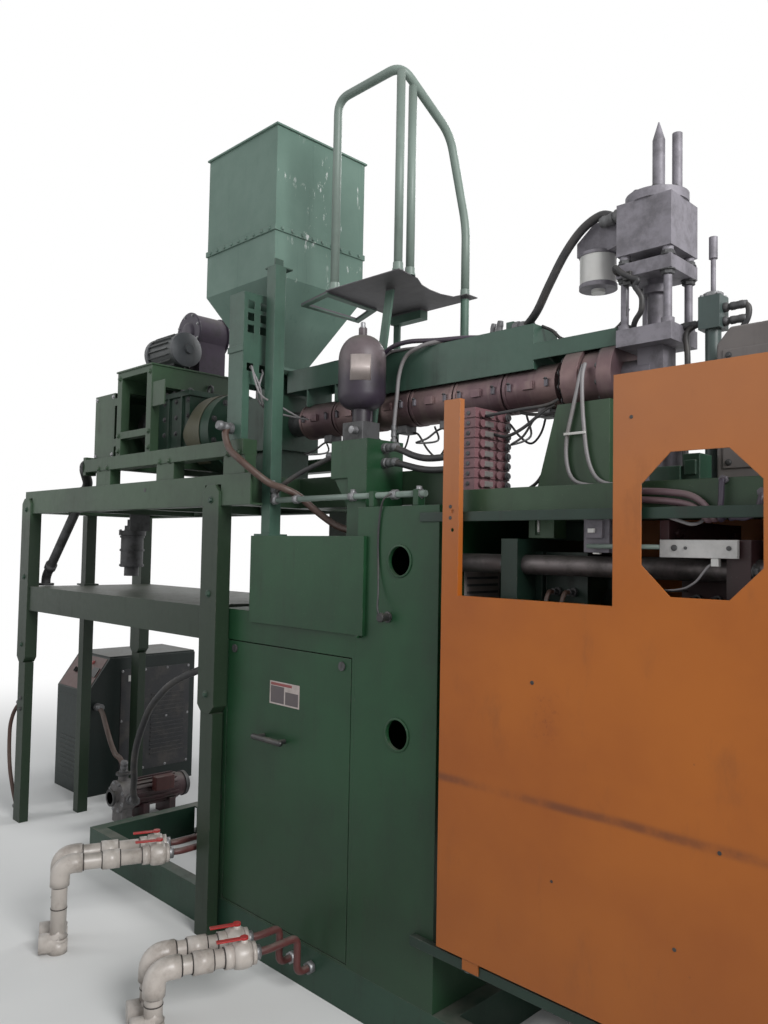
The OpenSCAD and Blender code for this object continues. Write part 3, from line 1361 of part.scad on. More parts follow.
module steel_pipes() {
    function end_of(x, y, yaw, len, side) = [x + (len + 40 + seat)*cos(yaw) - side*sin(yaw),
        y + (len + 40 + seat)*sin(yaw) + side*cos(yaw)];
    a = end_of(-1200, -490, 66, 372, 0);
    b = end_of(-1200, -490, 66, 372, -pair_gap);
    c = end_of(-437, -513, 68, 290, 0);
    d = end_of(-437, -513, 68, 290, -pair_gap);
    r = 13;
    color("#5a3434") {
        tube(bent([[a[0], a[1], 335], [a[0] + 20, a[1] + 45, 335], [a[0] + 20, 120, 335], [-cab_w, 120, 335]], 18), r);
        tube(bent([[b[0], b[1], 335], [b[0] + 20, b[1] + 45, 335], [b[0] + 20, 60, 335], [-cab_w, 60, 335]], 18), r);
        tube(bent([[c[0], c[1], 215], [c[0] + 15, c[1] + 37, 215], [c[0] + 15, -70, 215],
            [c[0] + 15, -70, 90], [c[0] + 15, 0, 90]], 30), r);
        tube(bent([[d[0], d[1], 215], [d[0] + 15, d[1] + 37, 215], [d[0] + 15, -70, 215],
            [d[0] + 15, -70, 90], [d[0] + 15, 0, 90]], 30), r);
    }
    color("#4a5350") {
        tube(bent([[rail_x0 - 30, -25, 2000], [-2110, -25, 2000], [-2200, 45, 1925], [-2740, 60, 1400],
            [-2740, 60, deck_top]], 30), 26, 12);
        bar_x(-535, 293, 30, 1786, 11);
        for (x = [40, 250]) block([x, 14, col_top], [x + 24, 46, 1786]);
    }
}

base_frame();
cabinet();
cabinet_door();
door_handle();
lock_left();
lock_right();
left_column();
right_column();
tie_bars();
clamp_cylinders();
platen_left();
platen_right();
mould_left();
mould_right();
head_table();
guard_rail();
front_guard();
platform_frame();
drive_rails();
drive_frame();
gearbox();
gearbox_pulley();
motor_pulley();
drive_belts();
drive_motor();
cooling_fan();
screw();
barrel();
heater_bands();
barrel_cover();
adapter();
feed_throat();
hopper();
slide_gate();
hopper_post();
cable_duct();
service_platform();
hand_rail();
bladder_bottle();
bottle_stand();
valve_stack();
head_block();
head_frame();
head_body();
push_ram();
oil_can();
side_cylinder();
side_rod();
power_unit();
knob_left();
knob_right();
water_pump();
hanging_pump();
hoses();
water_pipes();
steel_pipes();
valve_lever_a();
valve_lever_b();
valve_lever_c();
valve_lever_d();
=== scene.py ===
"""Looks of the accumulator-head blow moulding machine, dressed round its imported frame.

Pieces are measured in millimetres, and add_piece turns them into metres. Camera, lamps, floor and
finishes are in metres. A piece belongs to the body of its moving part, or to the frame.
"""
import math

import bpy
import numpy as np
from mathutils import Matrix, Vector


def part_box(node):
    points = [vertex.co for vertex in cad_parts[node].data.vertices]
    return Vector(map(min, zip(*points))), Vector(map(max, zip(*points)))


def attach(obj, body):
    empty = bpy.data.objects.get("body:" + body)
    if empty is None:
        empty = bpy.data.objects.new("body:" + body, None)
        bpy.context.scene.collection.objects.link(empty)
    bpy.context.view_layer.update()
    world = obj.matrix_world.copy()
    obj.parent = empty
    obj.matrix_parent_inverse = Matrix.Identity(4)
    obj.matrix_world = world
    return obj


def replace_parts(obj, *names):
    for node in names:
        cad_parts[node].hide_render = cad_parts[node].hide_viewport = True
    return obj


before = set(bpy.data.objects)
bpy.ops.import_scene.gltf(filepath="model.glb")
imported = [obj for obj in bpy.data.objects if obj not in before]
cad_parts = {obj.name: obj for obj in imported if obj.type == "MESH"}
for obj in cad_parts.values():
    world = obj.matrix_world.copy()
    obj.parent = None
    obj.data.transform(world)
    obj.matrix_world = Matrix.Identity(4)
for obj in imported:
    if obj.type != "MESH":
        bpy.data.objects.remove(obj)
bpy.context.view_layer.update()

# Camera: the eye stands in front of the guard and looks along the machine towards the drive
EYE = (2.100, -1.9837, 1.600)
YAW = math.radians(44.82)
PITCH = math.radians(2.57)
ROLL = math.radians(1.05)
FOCAL_PX = 819
FRAME_HEIGHT_PX = 1024

# Places that several pieces share, in millimetres
SCREW_Y = 320
SCREW_Z = 2146
HEAD_X = 955
SCROLL_X = -1700
SCROLL_Z = 2728
PUMP_X = -2335
PUMP_Z = 150
CABINET_LEFT = -820
DECK_TOP = 1347
TABLE_TOP = 1792.3
PLATFORM_TOP = 2608
REAR_SHEET = (603.4, 606.4)
BOTTLE = (-122, 122)

# Directions of bolts, turned parts and hose ends
FRONT = (0, -1, 0)
REAR = (0, 1, 0)
LEFT = (-1, 0, 0)
RIGHT = (1, 0, 0)
UP = (0, 0, 1)
DOWN = (0, 0, -1)

SENSOR_MM = 36.0
FAR_CLIP = 60.0


def make_camera():
    """Camera at the eye, with its axes from yaw, pitch and roll."""
    forward = Vector((-math.sin(YAW) * math.cos(PITCH), math.cos(YAW) * math.cos(PITCH), math.sin(PITCH)))
    level_right = Vector((math.cos(YAW), math.sin(YAW), 0.0))
    level_up = level_right.cross(forward)
    right = level_right * math.cos(ROLL) + level_up * math.sin(ROLL)
    up = right.cross(forward)
    lens = bpy.data.cameras.new("photo_camera")
    lens.sensor_fit = "VERTICAL"
    lens.sensor_height = SENSOR_MM
    lens.lens = SENSOR_MM * FOCAL_PX / FRAME_HEIGHT_PX
    lens.clip_end = FAR_CLIP
    camera = bpy.data.objects.new("photo_camera", lens)
    bpy.context.scene.collection.objects.link(camera)
    turn = Matrix((right, up, -forward)).transposed().to_4x4()
    camera.matrix_world = Matrix.Translation(EYE) @ turn
    bpy.context.scene.camera = camera


make_camera()


# Colours that many finishes share, and every finish under its name
DUST = (0.155, 0.145, 0.125)
# GRIME_AND_SHADE colours runs of grime and oil, and also the painted shade towards the floor
GRIME_AND_SHADE = (0.018, 0.017, 0.015)
BARE = (0.11, 0.10, 0.09)
GREEN = (0.011, 0.055, 0.021)
BEAM = (0.034, 0.070, 0.036)
FINISHES = {}


class Value:
    """A shader socket on which Python arithmetic adds Math nodes, also with a plain number before it."""

    def __init__(self, finish, socket):
        self.finish = finish
        self.socket = socket

    def __add__(self, other):
        return self.finish.math("ADD", self, other)

    def __radd__(self, other):
        return self.finish.math("ADD", other, self)

    def __sub__(self, other):
        return self.finish.math("SUBTRACT", self, other)

    def __rsub__(self, other):
        return self.finish.math("SUBTRACT", other, self)

    def __mul__(self, other):
        return self.finish.math("MULTIPLY", self, other)

    def __rmul__(self, other):
        return self.finish.math("MULTIPLY", other, self)


class Finish:
    """One material: a Principled shader and the nodes that vary it over the surface."""

    def __init__(self, name, **constants):
        self.name = name
        self.material = bpy.data.materials.new(name)
        self.material.use_nodes = True
        self.tree = self.material.node_tree
        self.tree.nodes.clear()
        self.shader = self.tree.nodes.new("ShaderNodeBsdfPrincipled")
        self.output = self.tree.nodes.new("ShaderNodeOutputMaterial")
        self.tree.links.new(self.shader.outputs[0], self.output.inputs[0])
        self.place = self.node("ShaderNodeTexCoord", out="Object")
        for socket, value in constants.items():
            self.shader.inputs[socket.replace("_", " ")].default_value = value

    def node(self, kind, settings=None, inputs=None, out=0):
        """A node of that type, with its settings set first and its sockets filled or linked."""
        made = self.tree.nodes.new(kind)
        for key, value in (settings or {}).items():
            setattr(made, key, value)
        for key, value in (inputs or {}).items():
            self.feed(made.inputs[key], value)
        return Value(self, made.outputs[out])

    def feed(self, socket, value):
        """Links a Value to the socket, or sets its constant."""
        if isinstance(value, Value):
            self.tree.links.new(value.socket, socket)
        else:
            socket.default_value = (*value, 1.0) if socket.type == "RGBA" else value

    def math(self, operation, a, b):
        """One Math node."""
        return self.node("ShaderNodeMath", {"operation": operation}, {0: a, 1: b})

    def stretched(self, x, y, z):
        """Object coordinates multiplied by x, y and z."""
        return self.node("ShaderNodeVectorMath", {"operation": "MULTIPLY"}, {0: self.place, 1: (x, y, z)})

    def noise(self, scale, detail=4.0, rough=0.6, vector=None):
        """Noise of that scale in the object's coordinates or in the given vector."""
        inputs = {"Vector": vector or self.place, "Scale": scale, "Detail": detail, "Roughness": rough}
        return self.node("ShaderNodeTexNoise", None, inputs)

    def ramp(self, value, low, high):
        """0 below low and 1 above high, smooth between them."""
        inputs = {"Value": value, "From Min": low, "From Max": high}
        return self.node("ShaderNodeMapRange", {"interpolation_type": "SMOOTHSTEP"}, inputs)

    def mix(self, share, a, b):
        """Colour a where share is 0 and colour b where it is 1."""
        return self.node("ShaderNodeMix", {"data_type": "RGBA"}, {0: share, 6: a, 7: b}, out=2)

    def along(self, axis):
        """One of the object's coordinates."""
        return self.node("ShaderNodeSeparateXYZ", None, {0: self.place}, out=axis)

    def soft_edge(self, radius):
        """The surface normal rounded over edges of that radius."""
        return self.node("ShaderNodeBevel", {"samples": 4}, {"Radius": radius})

    def chipped(self, base, rounded, low, high, scale=34.0, rough=0.7, bare=BARE):
        """Bare metal on sharp edges, where rounded and true normal differ, broken up by noise."""
        normal = self.node("ShaderNodeNewGeometry", out="Normal")
        dot = self.node("ShaderNodeVectorMath", {"operation": "DOT_PRODUCT"}, {0: rounded, 1: normal},
            out="Value")
        chips = self.ramp(1.0 - dot, 0.02, 0.18) * self.ramp(self.noise(scale, 5.0, rough), low, high)
        return self.mix(chips, base, bare)

    def dusted(self, base, start, amount, scale=None, low=0.25):
        """Dust on what faces up, broken up by noise of that scale: its share and the dusty colour."""
        normal = self.node("ShaderNodeNewGeometry", out="Normal")
        fallen = self.ramp(self.node("ShaderNodeSeparateXYZ", None, {0: normal}, out="Z"), start, 0.95)
        if scale:
            fallen = fallen * self.ramp(self.noise(scale, 6.0), low, 1.0 - low)
        fallen = fallen * amount
        return fallen, self.mix(fallen, base, DUST)

    def close(self, colour, roughness, relief, strength, distance, rounded):
        """Feeds colour, roughness and bumps to the shader and keeps the material under the finish's name."""
        inputs = {"Height": relief, "Strength": strength, "Distance": distance, "Normal": rounded}
        normal = self.node("ShaderNodeBump", None, inputs)
        for socket, value in (("Base Color", colour), ("Roughness", roughness), ("Normal", normal)):
            self.feed(self.shader.inputs[socket], value)
        FINISHES[self.name] = self.material


def shade(colour, share):
    """The colour darkened to that share."""
    return tuple(c * share for c in colour)


def painted(name, colour, dark=0.55, streak=0.35, dust=0.5, rough=0.42, edge=0.004, low=0.0, leg_shade=0.0):
    """Worn machine enamel: mottled colour, runs of grime, chipped edges, dust on what faces up and, where
    asked, painted shade towards the floor and below 1.7 m.
    """
    coat = Finish(name, Specular_IOR_Level=0.36)
    base = coat.mix(coat.ramp(coat.noise(1.7, 6.0, 0.65), 0.35, 0.72), colour, shade(colour, dark))
    runs = coat.noise(1.0, 5.0, 0.7, coat.stretched(26.0, 26.0, 1.3))
    spots = coat.noise(7.0, 8.0, 0.7)
    grimed = coat.ramp(runs * 0.6 + spots * 0.5, 0.56, 0.80) * streak
    base = coat.mix(grimed, base, GRIME_AND_SHADE)
    # painted shade: darker towards the floor
    if low:
        base = coat.mix(coat.ramp(coat.along("Z"), 1.2, 0.1) * low, base, GRIME_AND_SHADE)
    # painted shade: darker below 1.7 to 1.8 m, for legs and sleeves that stand in shadow
    if leg_shade:
        base = coat.mix(coat.ramp(coat.along("Z"), 1.80, 1.70) * leg_shade, base, shade(colour, 0.22))
    base = coat.mix(coat.ramp(coat.noise(160.0, 3.0, 0.6), 0.66, 0.74) * 0.35, base, DUST)
    rounded = coat.soft_edge(edge)
    base = coat.chipped(base, rounded, 0.495, 0.72)
    fallen, base = coat.dusted(base, 0.35, dust, 9.0)
    smooth = coat.noise(40.0, 4.0) * 0.16 + (rough - 0.08) + grimed * 0.25 + fallen * 0.3
    ripple = coat.noise(5.0, 2.0) * 0.7 + coat.noise(420.0, 2.0) * 0.03
    coat.close(base, smooth, ripple, 0.25, 0.004, rounded)


def metal(name, colour, oily=0.3, rough=0.34, shine=0.9):
    """Handled steel or iron: brushed grain, oil patches and dust in the hollows."""
    steel = Finish(name, Metallic=shine)
    brushed = steel.noise(1.0, 4.0, 0.6, steel.stretched(30.0, 30.0, 420.0))
    patches = steel.noise(12.0, 6.0, 0.7)
    base = steel.mix(steel.ramp(patches, 0.4, 0.68) * oily, colour, GRIME_AND_SHADE)
    fallen, base = steel.dusted(base, 0.4, 0.45, 11.0, 0.3)
    smooth = patches * 0.3 + (rough - 0.12) + brushed * 0.1 + fallen * 0.3
    steel.close(base, smooth, brushed, 0.08, 0.001, steel.soft_edge(0.002))


def plastic(name, colour, rough=0.4, dirt=0.35, dirt_colour=(0.12, 0.10, 0.08)):
    """Moulded plastic or rubber with smudges and dust."""
    skin = Finish(name)
    base = skin.mix(skin.ramp(skin.noise(8.0, 7.0, 0.7), 0.42, 0.75) * dirt, colour, dirt_colour)
    base = skin.dusted(base, 0.4, dirt, 14.0, 0.3)[1]
    smooth = skin.noise(30.0, 5.0) * 0.25 + (rough - 0.1)
    skin.close(base, smooth, skin.noise(260.0, 2.0), 0.06, 0.001, skin.soft_edge(0.002))


def two_paints(name, near, far, place, axis="Y", soft=0.004):
    """Piece with one paint up to that place along the axis and another beyond it; oily and worn."""
    coat = Finish(name, Specular_IOR_Level=0.4)
    base = coat.mix(coat.ramp(coat.along(axis), place, place + soft), near, far)
    base = coat.mix(coat.ramp(coat.noise(9.0, 7.0, 0.7), 0.42, 0.70) * 0.7, base, GRIME_AND_SHADE)
    rounded = coat.soft_edge(0.003)
    base = coat.chipped(base, rounded, 0.50, 0.70)
    fallen, base = coat.dusted(base, 0.35, 0.8, 9.0)
    smooth = coat.noise(30.0, 5.0) * 0.25 + 0.32 + fallen * 0.3
    coat.close(base, smooth, coat.noise(60.0, 4.0), 0.2, 0.002, rounded)


def walk_paint():
    """Mauve-grey sheet over sage-green legs, dusty on top."""
    coat = Finish("walk_grey", Specular_IOR_Level=0.4)
    sheet = coat.mix(coat.ramp(coat.noise(3.0, 6.0), 0.35, 0.7), (0.094, 0.088, 0.096),
        (0.060, 0.055, 0.058))
    legs = coat.mix(coat.ramp(coat.noise(4.0, 6.0), 0.35, 0.7), (0.085, 0.150, 0.115),
        (0.050, 0.095, 0.070))
    base = coat.mix(coat.ramp(coat.along("Z"), 2.600, 2.596), sheet, legs)
    runs = coat.noise(1.0, 5.0, 0.7, coat.stretched(24.0, 24.0, 3.0))
    base = coat.mix(coat.ramp(runs, 0.55, 0.8) * 0.45, base, GRIME_AND_SHADE)
    rounded = coat.soft_edge(0.002)
    base = coat.chipped(base, rounded, 0.5, 0.7, rough=0.6, bare=(0.30, 0.30, 0.28))
    fallen, base = coat.dusted(base, 0.35, 0.9, 9.0)
    smooth = coat.noise(30.0, 5.0) * 0.2 + 0.40 + fallen * 0.2
    coat.close(base, smooth, runs, 0.2, 0.002, rounded)


def guard_paint():
    """Orange-yellow sheet, lighter towards the top and darker towards the bottom, the darker bottom being
    painted shade; a thin line of grime, rust specks and hand smears.
    """
    coat = Finish("guard_orange", Specular_IOR_Level=0.4)
    base = coat.mix(coat.ramp(coat.noise(1.3, 5.0), 0.3, 0.75), (0.370, 0.104, 0.009),
        (0.270, 0.067, 0.006))
    x = coat.along("X")
    z = coat.along("Z")
    # lighter towards the top
    base = coat.mix(coat.ramp(z, 1.45, 2.05) * 0.35, base, (0.46, 0.22, 0.11))
    # painted shade: darker towards the bottom, where less light falls
    base = coat.mix(coat.ramp(z, 1.1, 0.38) * 0.35, base, (0.20, 0.060, 0.010))
    level = z + coat.noise(1.5, 2.0) * 0.03
    band = coat.ramp(level, 0.900, 0.917) * coat.ramp(level, 0.940, 0.921)
    base = coat.mix(band * coat.ramp(coat.noise(5.0, 5.0), 0.28, 0.55) * 0.72, base,
        (0.105, 0.032, 0.014))
    smear = coat.noise(1.0, 6.0, 0.7, coat.stretched(9.0, 9.0, 3.2))
    base = coat.mix(coat.ramp(smear, 0.56, 0.76) * 0.30, base, (0.15, 0.050, 0.014))
    rust = coat.node("ShaderNodeTexVoronoi", None, {"Vector": coat.place, "Scale": 11.0}, out="Distance")
    specks = coat.ramp(rust, 0.075, 0.04) * coat.ramp(coat.noise(3.5, 2.0), 0.60, 0.66)
    base = coat.mix(specks, base, (0.045, 0.020, 0.012))
    smudge = coat.ramp(x, 0.74, 0.79) * coat.ramp(x, 0.87, 0.82)
    smudge = smudge * coat.ramp(z, 1.04, 1.10) * coat.ramp(z, 1.23, 1.18)
    fine = coat.ramp(coat.noise(60.0, 6.0, 0.7), 0.55, 0.66) * 0.4
    blots = coat.ramp(coat.noise(14.0, 5.0), 0.45, 0.75) * 0.45
    base = coat.mix(smudge * (blots + fine), base, (0.15, 0.032, 0.012))
    rounded = coat.soft_edge(0.003)
    base = coat.chipped(base, rounded, 0.50, 0.62, scale=40.0, rough=0.6)
    smooth = coat.noise(30.0, 5.0) * 0.22 + 0.36
    ripple = coat.noise(2.4, 2.0) + coat.noise(300.0, 2.0) * 0.02
    coat.close(base, smooth, ripple, 0.35, 0.006, rounded)


def hopper_paint():
    """Chalky sea-green sheet with pale flakes that run down the right side."""
    coat = Finish("hopper_green", Specular_IOR_Level=0.35)
    base = coat.mix(coat.ramp(coat.noise(2.2, 6.0), 0.3, 0.75), (0.120, 0.190, 0.155),
        (0.082, 0.140, 0.112))
    runs = coat.noise(1.0, 5.0, 0.7, coat.stretched(30.0, 30.0, 1.6))
    base = coat.mix(coat.ramp(runs, 0.55, 0.78) * 0.45, base, (0.035, 0.075, 0.055))
    flakes = coat.noise(1.0, 9.0, 0.75, coat.stretched(22.0, 22.0, 7.0))
    patch = coat.ramp(coat.noise(5.0, 2.0), 0.50, 0.58) * coat.ramp(coat.along("X"), -0.615, -0.607)
    base = coat.mix(coat.ramp(flakes, 0.565, 0.60) * patch, base, (0.50, 0.52, 0.50))
    base = coat.dusted(base, 0.35, 0.5)[1]
    rounded = coat.soft_edge(0.004)
    base = coat.chipped(base, rounded, 0.52, 0.66, scale=30.0, rough=0.6)
    smooth = coat.noise(25.0, 5.0) * 0.25 + 0.42
    coat.close(base, smooth, coat.noise(3.2, 2.0) + flakes * 0.05, 0.3, 0.006, rounded)


def heated_steel():
    """Heater band sheet tanned by heat, with fine rings and dust."""
    steel = Finish("heat_tanned_steel", Metallic=0.65)
    base = steel.mix(steel.ramp(steel.noise(6.0, 6.0), 0.3, 0.7), (0.20, 0.135, 0.130),
        (0.115, 0.070, 0.082))
    rings = steel.noise(1.0, 3.0, 0.6, steel.stretched(36.0, 4.0, 4.0))
    base = steel.mix(steel.ramp(rings, 0.5, 0.7) * 0.4, base, (0.22, 0.165, 0.15))
    base = steel.dusted(base, 0.3, 0.55)[1]
    steel.close(base, steel.noise(30.0, 5.0) * 0.3 + 0.34, rings, 0.2, 0.002, steel.soft_edge(0.002))


# painted shade: the body green darkens towards the floor
painted("green_body", GREEN, streak=0.45, low=0.35)
painted("green_beam", BEAM, streak=0.5, dust=0.4)
# painted shade: the platform frame's legs and sleeves darken below 1.7 m
painted("green_stand", BEAM, streak=0.5, dust=0.4, leg_shade=0.8)
painted("green_duct", (0.050, 0.105, 0.076), streak=0.4)
painted("green_dark", (0.016, 0.048, 0.029), streak=0.8, dust=0.6)
# painted shade: platens, left mould and guard rail painted darker than the body green, as they stand in the
# shade inside the machine
painted("platen_green", (0.011, 0.030, 0.020), streak=0.8, dust=0.35)
painted("cowl_tan", (0.12, 0.115, 0.075), streak=0.5, dust=0.8)
painted("unit_green", (0.006, 0.014, 0.012), streak=0.4, dust=0.5)
painted("bottle_green", (0.034, 0.038, 0.037), streak=0.3, rough=0.33)
painted("maroon", (0.090, 0.030, 0.028), streak=0.6, dust=0.6)
painted("mould_red", (0.048, 0.018, 0.020), streak=0.7, dust=0.3)
painted("purple_grey", (0.070, 0.052, 0.085), streak=0.5, dust=0.7)
two_paints("fan_paint", (0.075, 0.082, 0.082), (0.052, 0.032, 0.058), 0.335)
two_paints("pump_paint", (0.145, 0.135, 0.135), (0.062, 0.026, 0.030), 0.425)
two_paints("bottle_paint", (0.026, 0.019, 0.030), (0.105, 0.082, 0.088), 2.215, "Z", 0.09)
painted("motor_grey", (0.085, 0.090, 0.098), streak=0.6, dust=0.7)
painted("valve_pink", (0.175, 0.085, 0.095), streak=0.5, dust=0.5, edge=0.002)
painted("rail_grey", (0.185, 0.235, 0.205), dark=0.75, streak=0.3, dust=0.5, edge=0.002)
walk_paint()
guard_paint()
hopper_paint()
metal("steel", (0.30, 0.30, 0.31), oily=0.5, rough=0.42, shine=0.8)
metal("bar_steel", (0.12, 0.105, 0.105), oily=0.6, rough=0.4, shine=0.7)
metal("head_grey", (0.21, 0.197, 0.222), oily=0.45, rough=0.52, shine=0.22)
metal("head_dark", (0.130, 0.120, 0.138), oily=0.5, rough=0.52, shine=0.25)
painted("cylinder_green", (0.060, 0.085, 0.080), streak=0.5, dust=0.5, edge=0.002)
painted("box_grey", (0.150, 0.135, 0.130), streak=0.5, dust=0.8)
plastic("hose_mauve", (0.105, 0.062, 0.072), rough=0.45)
plastic("hose_purple", (0.034, 0.024, 0.042), rough=0.45)
metal("dark_iron", (0.085, 0.085, 0.088), oily=0.6, rough=0.5, shine=0.5)
metal("dull_sheet", (0.16, 0.16, 0.165), oily=0.5, rough=0.48, shine=0.5)
metal("pale_sheet", (0.46, 0.45, 0.44), oily=0.2, rough=0.5, shine=0.3)
painted("cover_green", (0.042, 0.088, 0.064), streak=0.5, dust=0.7)
heated_steel()
plastic("rubber", (0.016, 0.016, 0.018), rough=0.5)
plastic("rubber_brown", (0.055, 0.026, 0.018), rough=0.5)
plastic("black_plastic", (0.012, 0.012, 0.013), rough=0.35)
plastic("pvc", (0.43, 0.39, 0.355), rough=0.32, dirt=0.6, dirt_colour=(0.11, 0.08, 0.06))
plastic("lever_red", (0.36, 0.020, 0.020), rough=0.35, dirt=0.25)
plastic("pale_plastic", (0.55, 0.54, 0.52), rough=0.35, dirt=0.3)
plastic("cable_grey", (0.19, 0.18, 0.185), rough=0.45, dirt=0.4)
plastic("grime_ring", (0.030, 0.026, 0.024), rough=0.6)
plastic("sticker", (0.42, 0.36, 0.34), rough=0.4, dirt=0.5)
plastic("sticker_dark", (0.075, 0.060, 0.065), rough=0.4, dirt=0.3)
plastic("sticker_red", (0.22, 0.045, 0.045), rough=0.4, dirt=0.3)
plastic("unit_black", (0.010, 0.011, 0.014), rough=0.45)
plastic("panel_brown", (0.11, 0.055, 0.050), rough=0.45, dirt=0.3)

NODES_BY_FINISH = {
    "green_dark": "base_frame gearbox drive_motor feed_throat",
    "green_body": "cabinet cabinet_door left_column right_column bottle_stand",
    "black_plastic": "door_handle knob_left knob_right",
    "dark_iron": "lock_left lock_right clamp_cylinders gearbox_pulley motor_pulley barrel hanging_pump",
    "bar_steel": "tie_bars",
    # painted shade: these parts take a darkened green for the shade they stand in
    "platen_green": "platen_left mould_left guard_rail",
    "mould_red": "platen_right mould_right",
    "green_beam": "head_table drive_rails drive_frame",
    "guard_orange": "front_guard",
    "green_stand": "platform_frame",
    "rubber": "drive_belts hoses",
    "fan_paint": "cooling_fan",
    "steel": "screw slide_gate",
    "heat_tanned_steel": "heater_bands adapter",
    "cover_green": "barrel_cover",
    "hopper_green": "hopper",
    "green_duct": "hopper_post cable_duct",
    "walk_grey": "service_platform",
    "rail_grey": "hand_rail",
    "bottle_green": "bladder_bottle",
    "valve_pink": "valve_stack",
    "head_grey": "head_block head_frame side_rod",
    "head_dark": "head_body push_ram",
    "pale_plastic": "oil_can",
    "cylinder_green": "side_cylinder",
    "unit_green": "power_unit",
    "pump_paint": "water_pump",
    "pvc": "water_pipes",
    "maroon": "steel_pipes",
    "lever_red": "valve_lever_a valve_lever_b valve_lever_c valve_lever_d",
}


def dress_nodes():
    """Gives every carried-over solid its finish."""
    for finish, nodes in NODES_BY_FINISH.items():
        for node in nodes.split():
            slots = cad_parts[node].data.materials
            if not slots:
                slots.append(FINISHES[finish])
            for i in range(len(slots)):
                slots[i] = FINISHES[finish]


dress_nodes()


def add_piece(name, vertices, faces, finish, body="frame", smooth=True):
    """A mesh piece from millimetres that rides on a body."""
    mesh = bpy.data.meshes.new(name)
    mesh.from_pydata((np.asarray(vertices, float) / 1000.0).tolist(), [], faces)
    mesh.materials.append(FINISHES[finish])
    if smooth:
        mesh.shade_smooth()
    mesh.update()
    piece = bpy.data.objects.new(name, mesh)
    bpy.context.scene.collection.objects.link(piece)
    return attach(piece, body)


def add_bevel(piece, width, segments=2):
    """Chamfered edges of that width in millimetres."""
    chamfer = piece.modifiers.new("edges", "BEVEL")
    chamfer.width = width / 1000.0
    chamfer.segments = segments


def unit(v):
    """Vectors of length one."""
    return v / np.maximum(np.linalg.norm(v, axis=-1, keepdims=True), 1e-12)


def curve_through(points, steps=8):
    """Catmull-Rom curve: each span is the cubic through its two points with slopes from their neighbours."""
    p = np.array(points, float)
    p = np.vstack([2 * p[0] - p[1], p, 2 * p[-1] - p[-2]])
    t = np.linspace(0, 1, steps, endpoint=False)[None, :, None]
    a, b, c, d = (p[i:len(p) - 3 + i][:, None, :] for i in range(4))
    spans = 0.5 * (2 * b + (c - a) * t + (2 * a - 5 * b + 4 * c - d) * t**2
        + (3 * b - a - 3 * c + d) * t**3)
    return np.vstack([spans.reshape(-1, 3), p[-2]])


def bent_route(points, bend, steps=8):
    """Straight runs whose corners are rounded over bend by a quadratic arc."""
    p = np.array(points, float)
    t = np.linspace(0, 1, steps)[:, None]
    stretches = [p[:1]]
    for before, corner, after in zip(p[:-2], p[1:-1], p[2:]):
        a = corner + bend * unit(before - corner)
        c = corner + bend * unit(after - corner)
        stretches.append((1 - t)**2 * a + 2 * t * (1 - t) * corner + t**2 * c)
    return np.vstack(stretches + [p[-1:]])


def frame_about(axis):
    """Two directions square to an axis and to each other."""
    u = unit(np.cross(axis, (0.31, 0.52, 0.80)))
    return u, np.cross(axis, u)


def circle(count):
    """Cosines and sines of evenly spaced angles, as columns."""
    turn = np.linspace(0, 2 * np.pi, count, endpoint=False)
    return np.cos(turn)[:, None], np.sin(turn)[:, None]


def tube_mesh(path, radius, sides=16):
    """Rings of radius about path, closed at both ends; side vectors are carried along it without a twist."""
    path = np.array(path, float)
    radius = np.broadcast_to(np.array(radius, float), (len(path),))
    heading = unit(np.gradient(path, axis=0))
    side = frame_about(heading[0])[0]
    carried = []
    for h in heading:
        side = unit(side - (side @ h) * h)
        carried.append(side)
    u = np.array(carried)
    v = np.cross(heading, u)
    cos, sin = circle(sides)
    vertices = path[:, None] + radius[:, None, None] * (cos * u[:, None] + sin * v[:, None])
    return vertices.reshape(-1, 3), grid_faces(len(path), sides)


def grid_faces(rings, sides, capped=True):
    """Quads between neighbouring rings, and a cap on each end."""
    i = np.arange(rings - 1)[:, None] * sides
    k = np.arange(sides)[None, :]
    n = (k + 1) % sides
    quads = np.stack([i + k, i + n, i + sides + n, i + sides + k], axis=-1).reshape(-1, 4).tolist()
    last = (rings - 1) * sides
    caps = [list(range(sides - 1, -1, -1)), list(range(last, last + sides))]
    return quads + caps if capped else quads


def joined(parts):
    """Vertices and faces of several (vertices, faces) meshes as one mesh."""
    faces = []
    base = 0
    for vertices, own in parts:
        faces += [[base + i for i in face] for face in own]
        base += len(vertices)
    return np.vstack([vertices for vertices, own in parts]), faces


def add_tubes(name, runs, finish, body="frame", sides=16):
    """One piece made of several tubes, each a (path, radius) pair; its caps stay flat."""
    vertices, faces = joined([tube_mesh(path, radius, sides) for path, radius in runs])
    piece = add_piece(name, vertices, faces, finish, body)
    for polygon in piece.data.polygons:
        polygon.use_smooth = len(polygon.vertices) <= 4
    return piece


def add_cables(name, routes, radius, finish, body="frame", sides=12):
    """Smooth tubes of one radius, one through the points of each route."""
    return add_tubes(name, [(curve_through(route), radius) for route in routes], finish, body, sides)


def turned(name, parts, finish, body="frame", sides=32):
    """Revolved pieces: each (place, axis, profile) turns its (distance along, radius) points about its axis.

    A profile that ends where it starts makes an open ring, any other is capped at both ends.
    """
    meshes = []
    cos, sin = circle(sides)
    for place, axis, profile in parts:
        axis = unit(np.array(axis, float))
        u, v = frame_about(axis)
        along = np.array([p[0] for p in profile], float)
        radius = np.array([p[1] for p in profile], float)
        path = np.array(place, float) + along[:, None] * axis
        vertices = path[:, None] + radius[:, None, None] * (cos * u + sin * v)[None]
        capped = profile[0] != profile[-1]
        meshes.append((vertices.reshape(-1, 3), grid_faces(len(path), sides, capped)))
    piece = add_piece(name, *joined(meshes), finish, body)
    weld = piece.modifiers.new("joined", "WELD")
    weld.merge_threshold = 0.00001
    sharpen(piece)
    return piece


def sharpen(piece, angle=35):
    """Smooth shading that keeps edges sharper than the angle."""
    for polygon in piece.data.polygons:
        polygon.use_smooth = True
    piece.data.set_sharp_from_angle(angle=math.radians(angle))


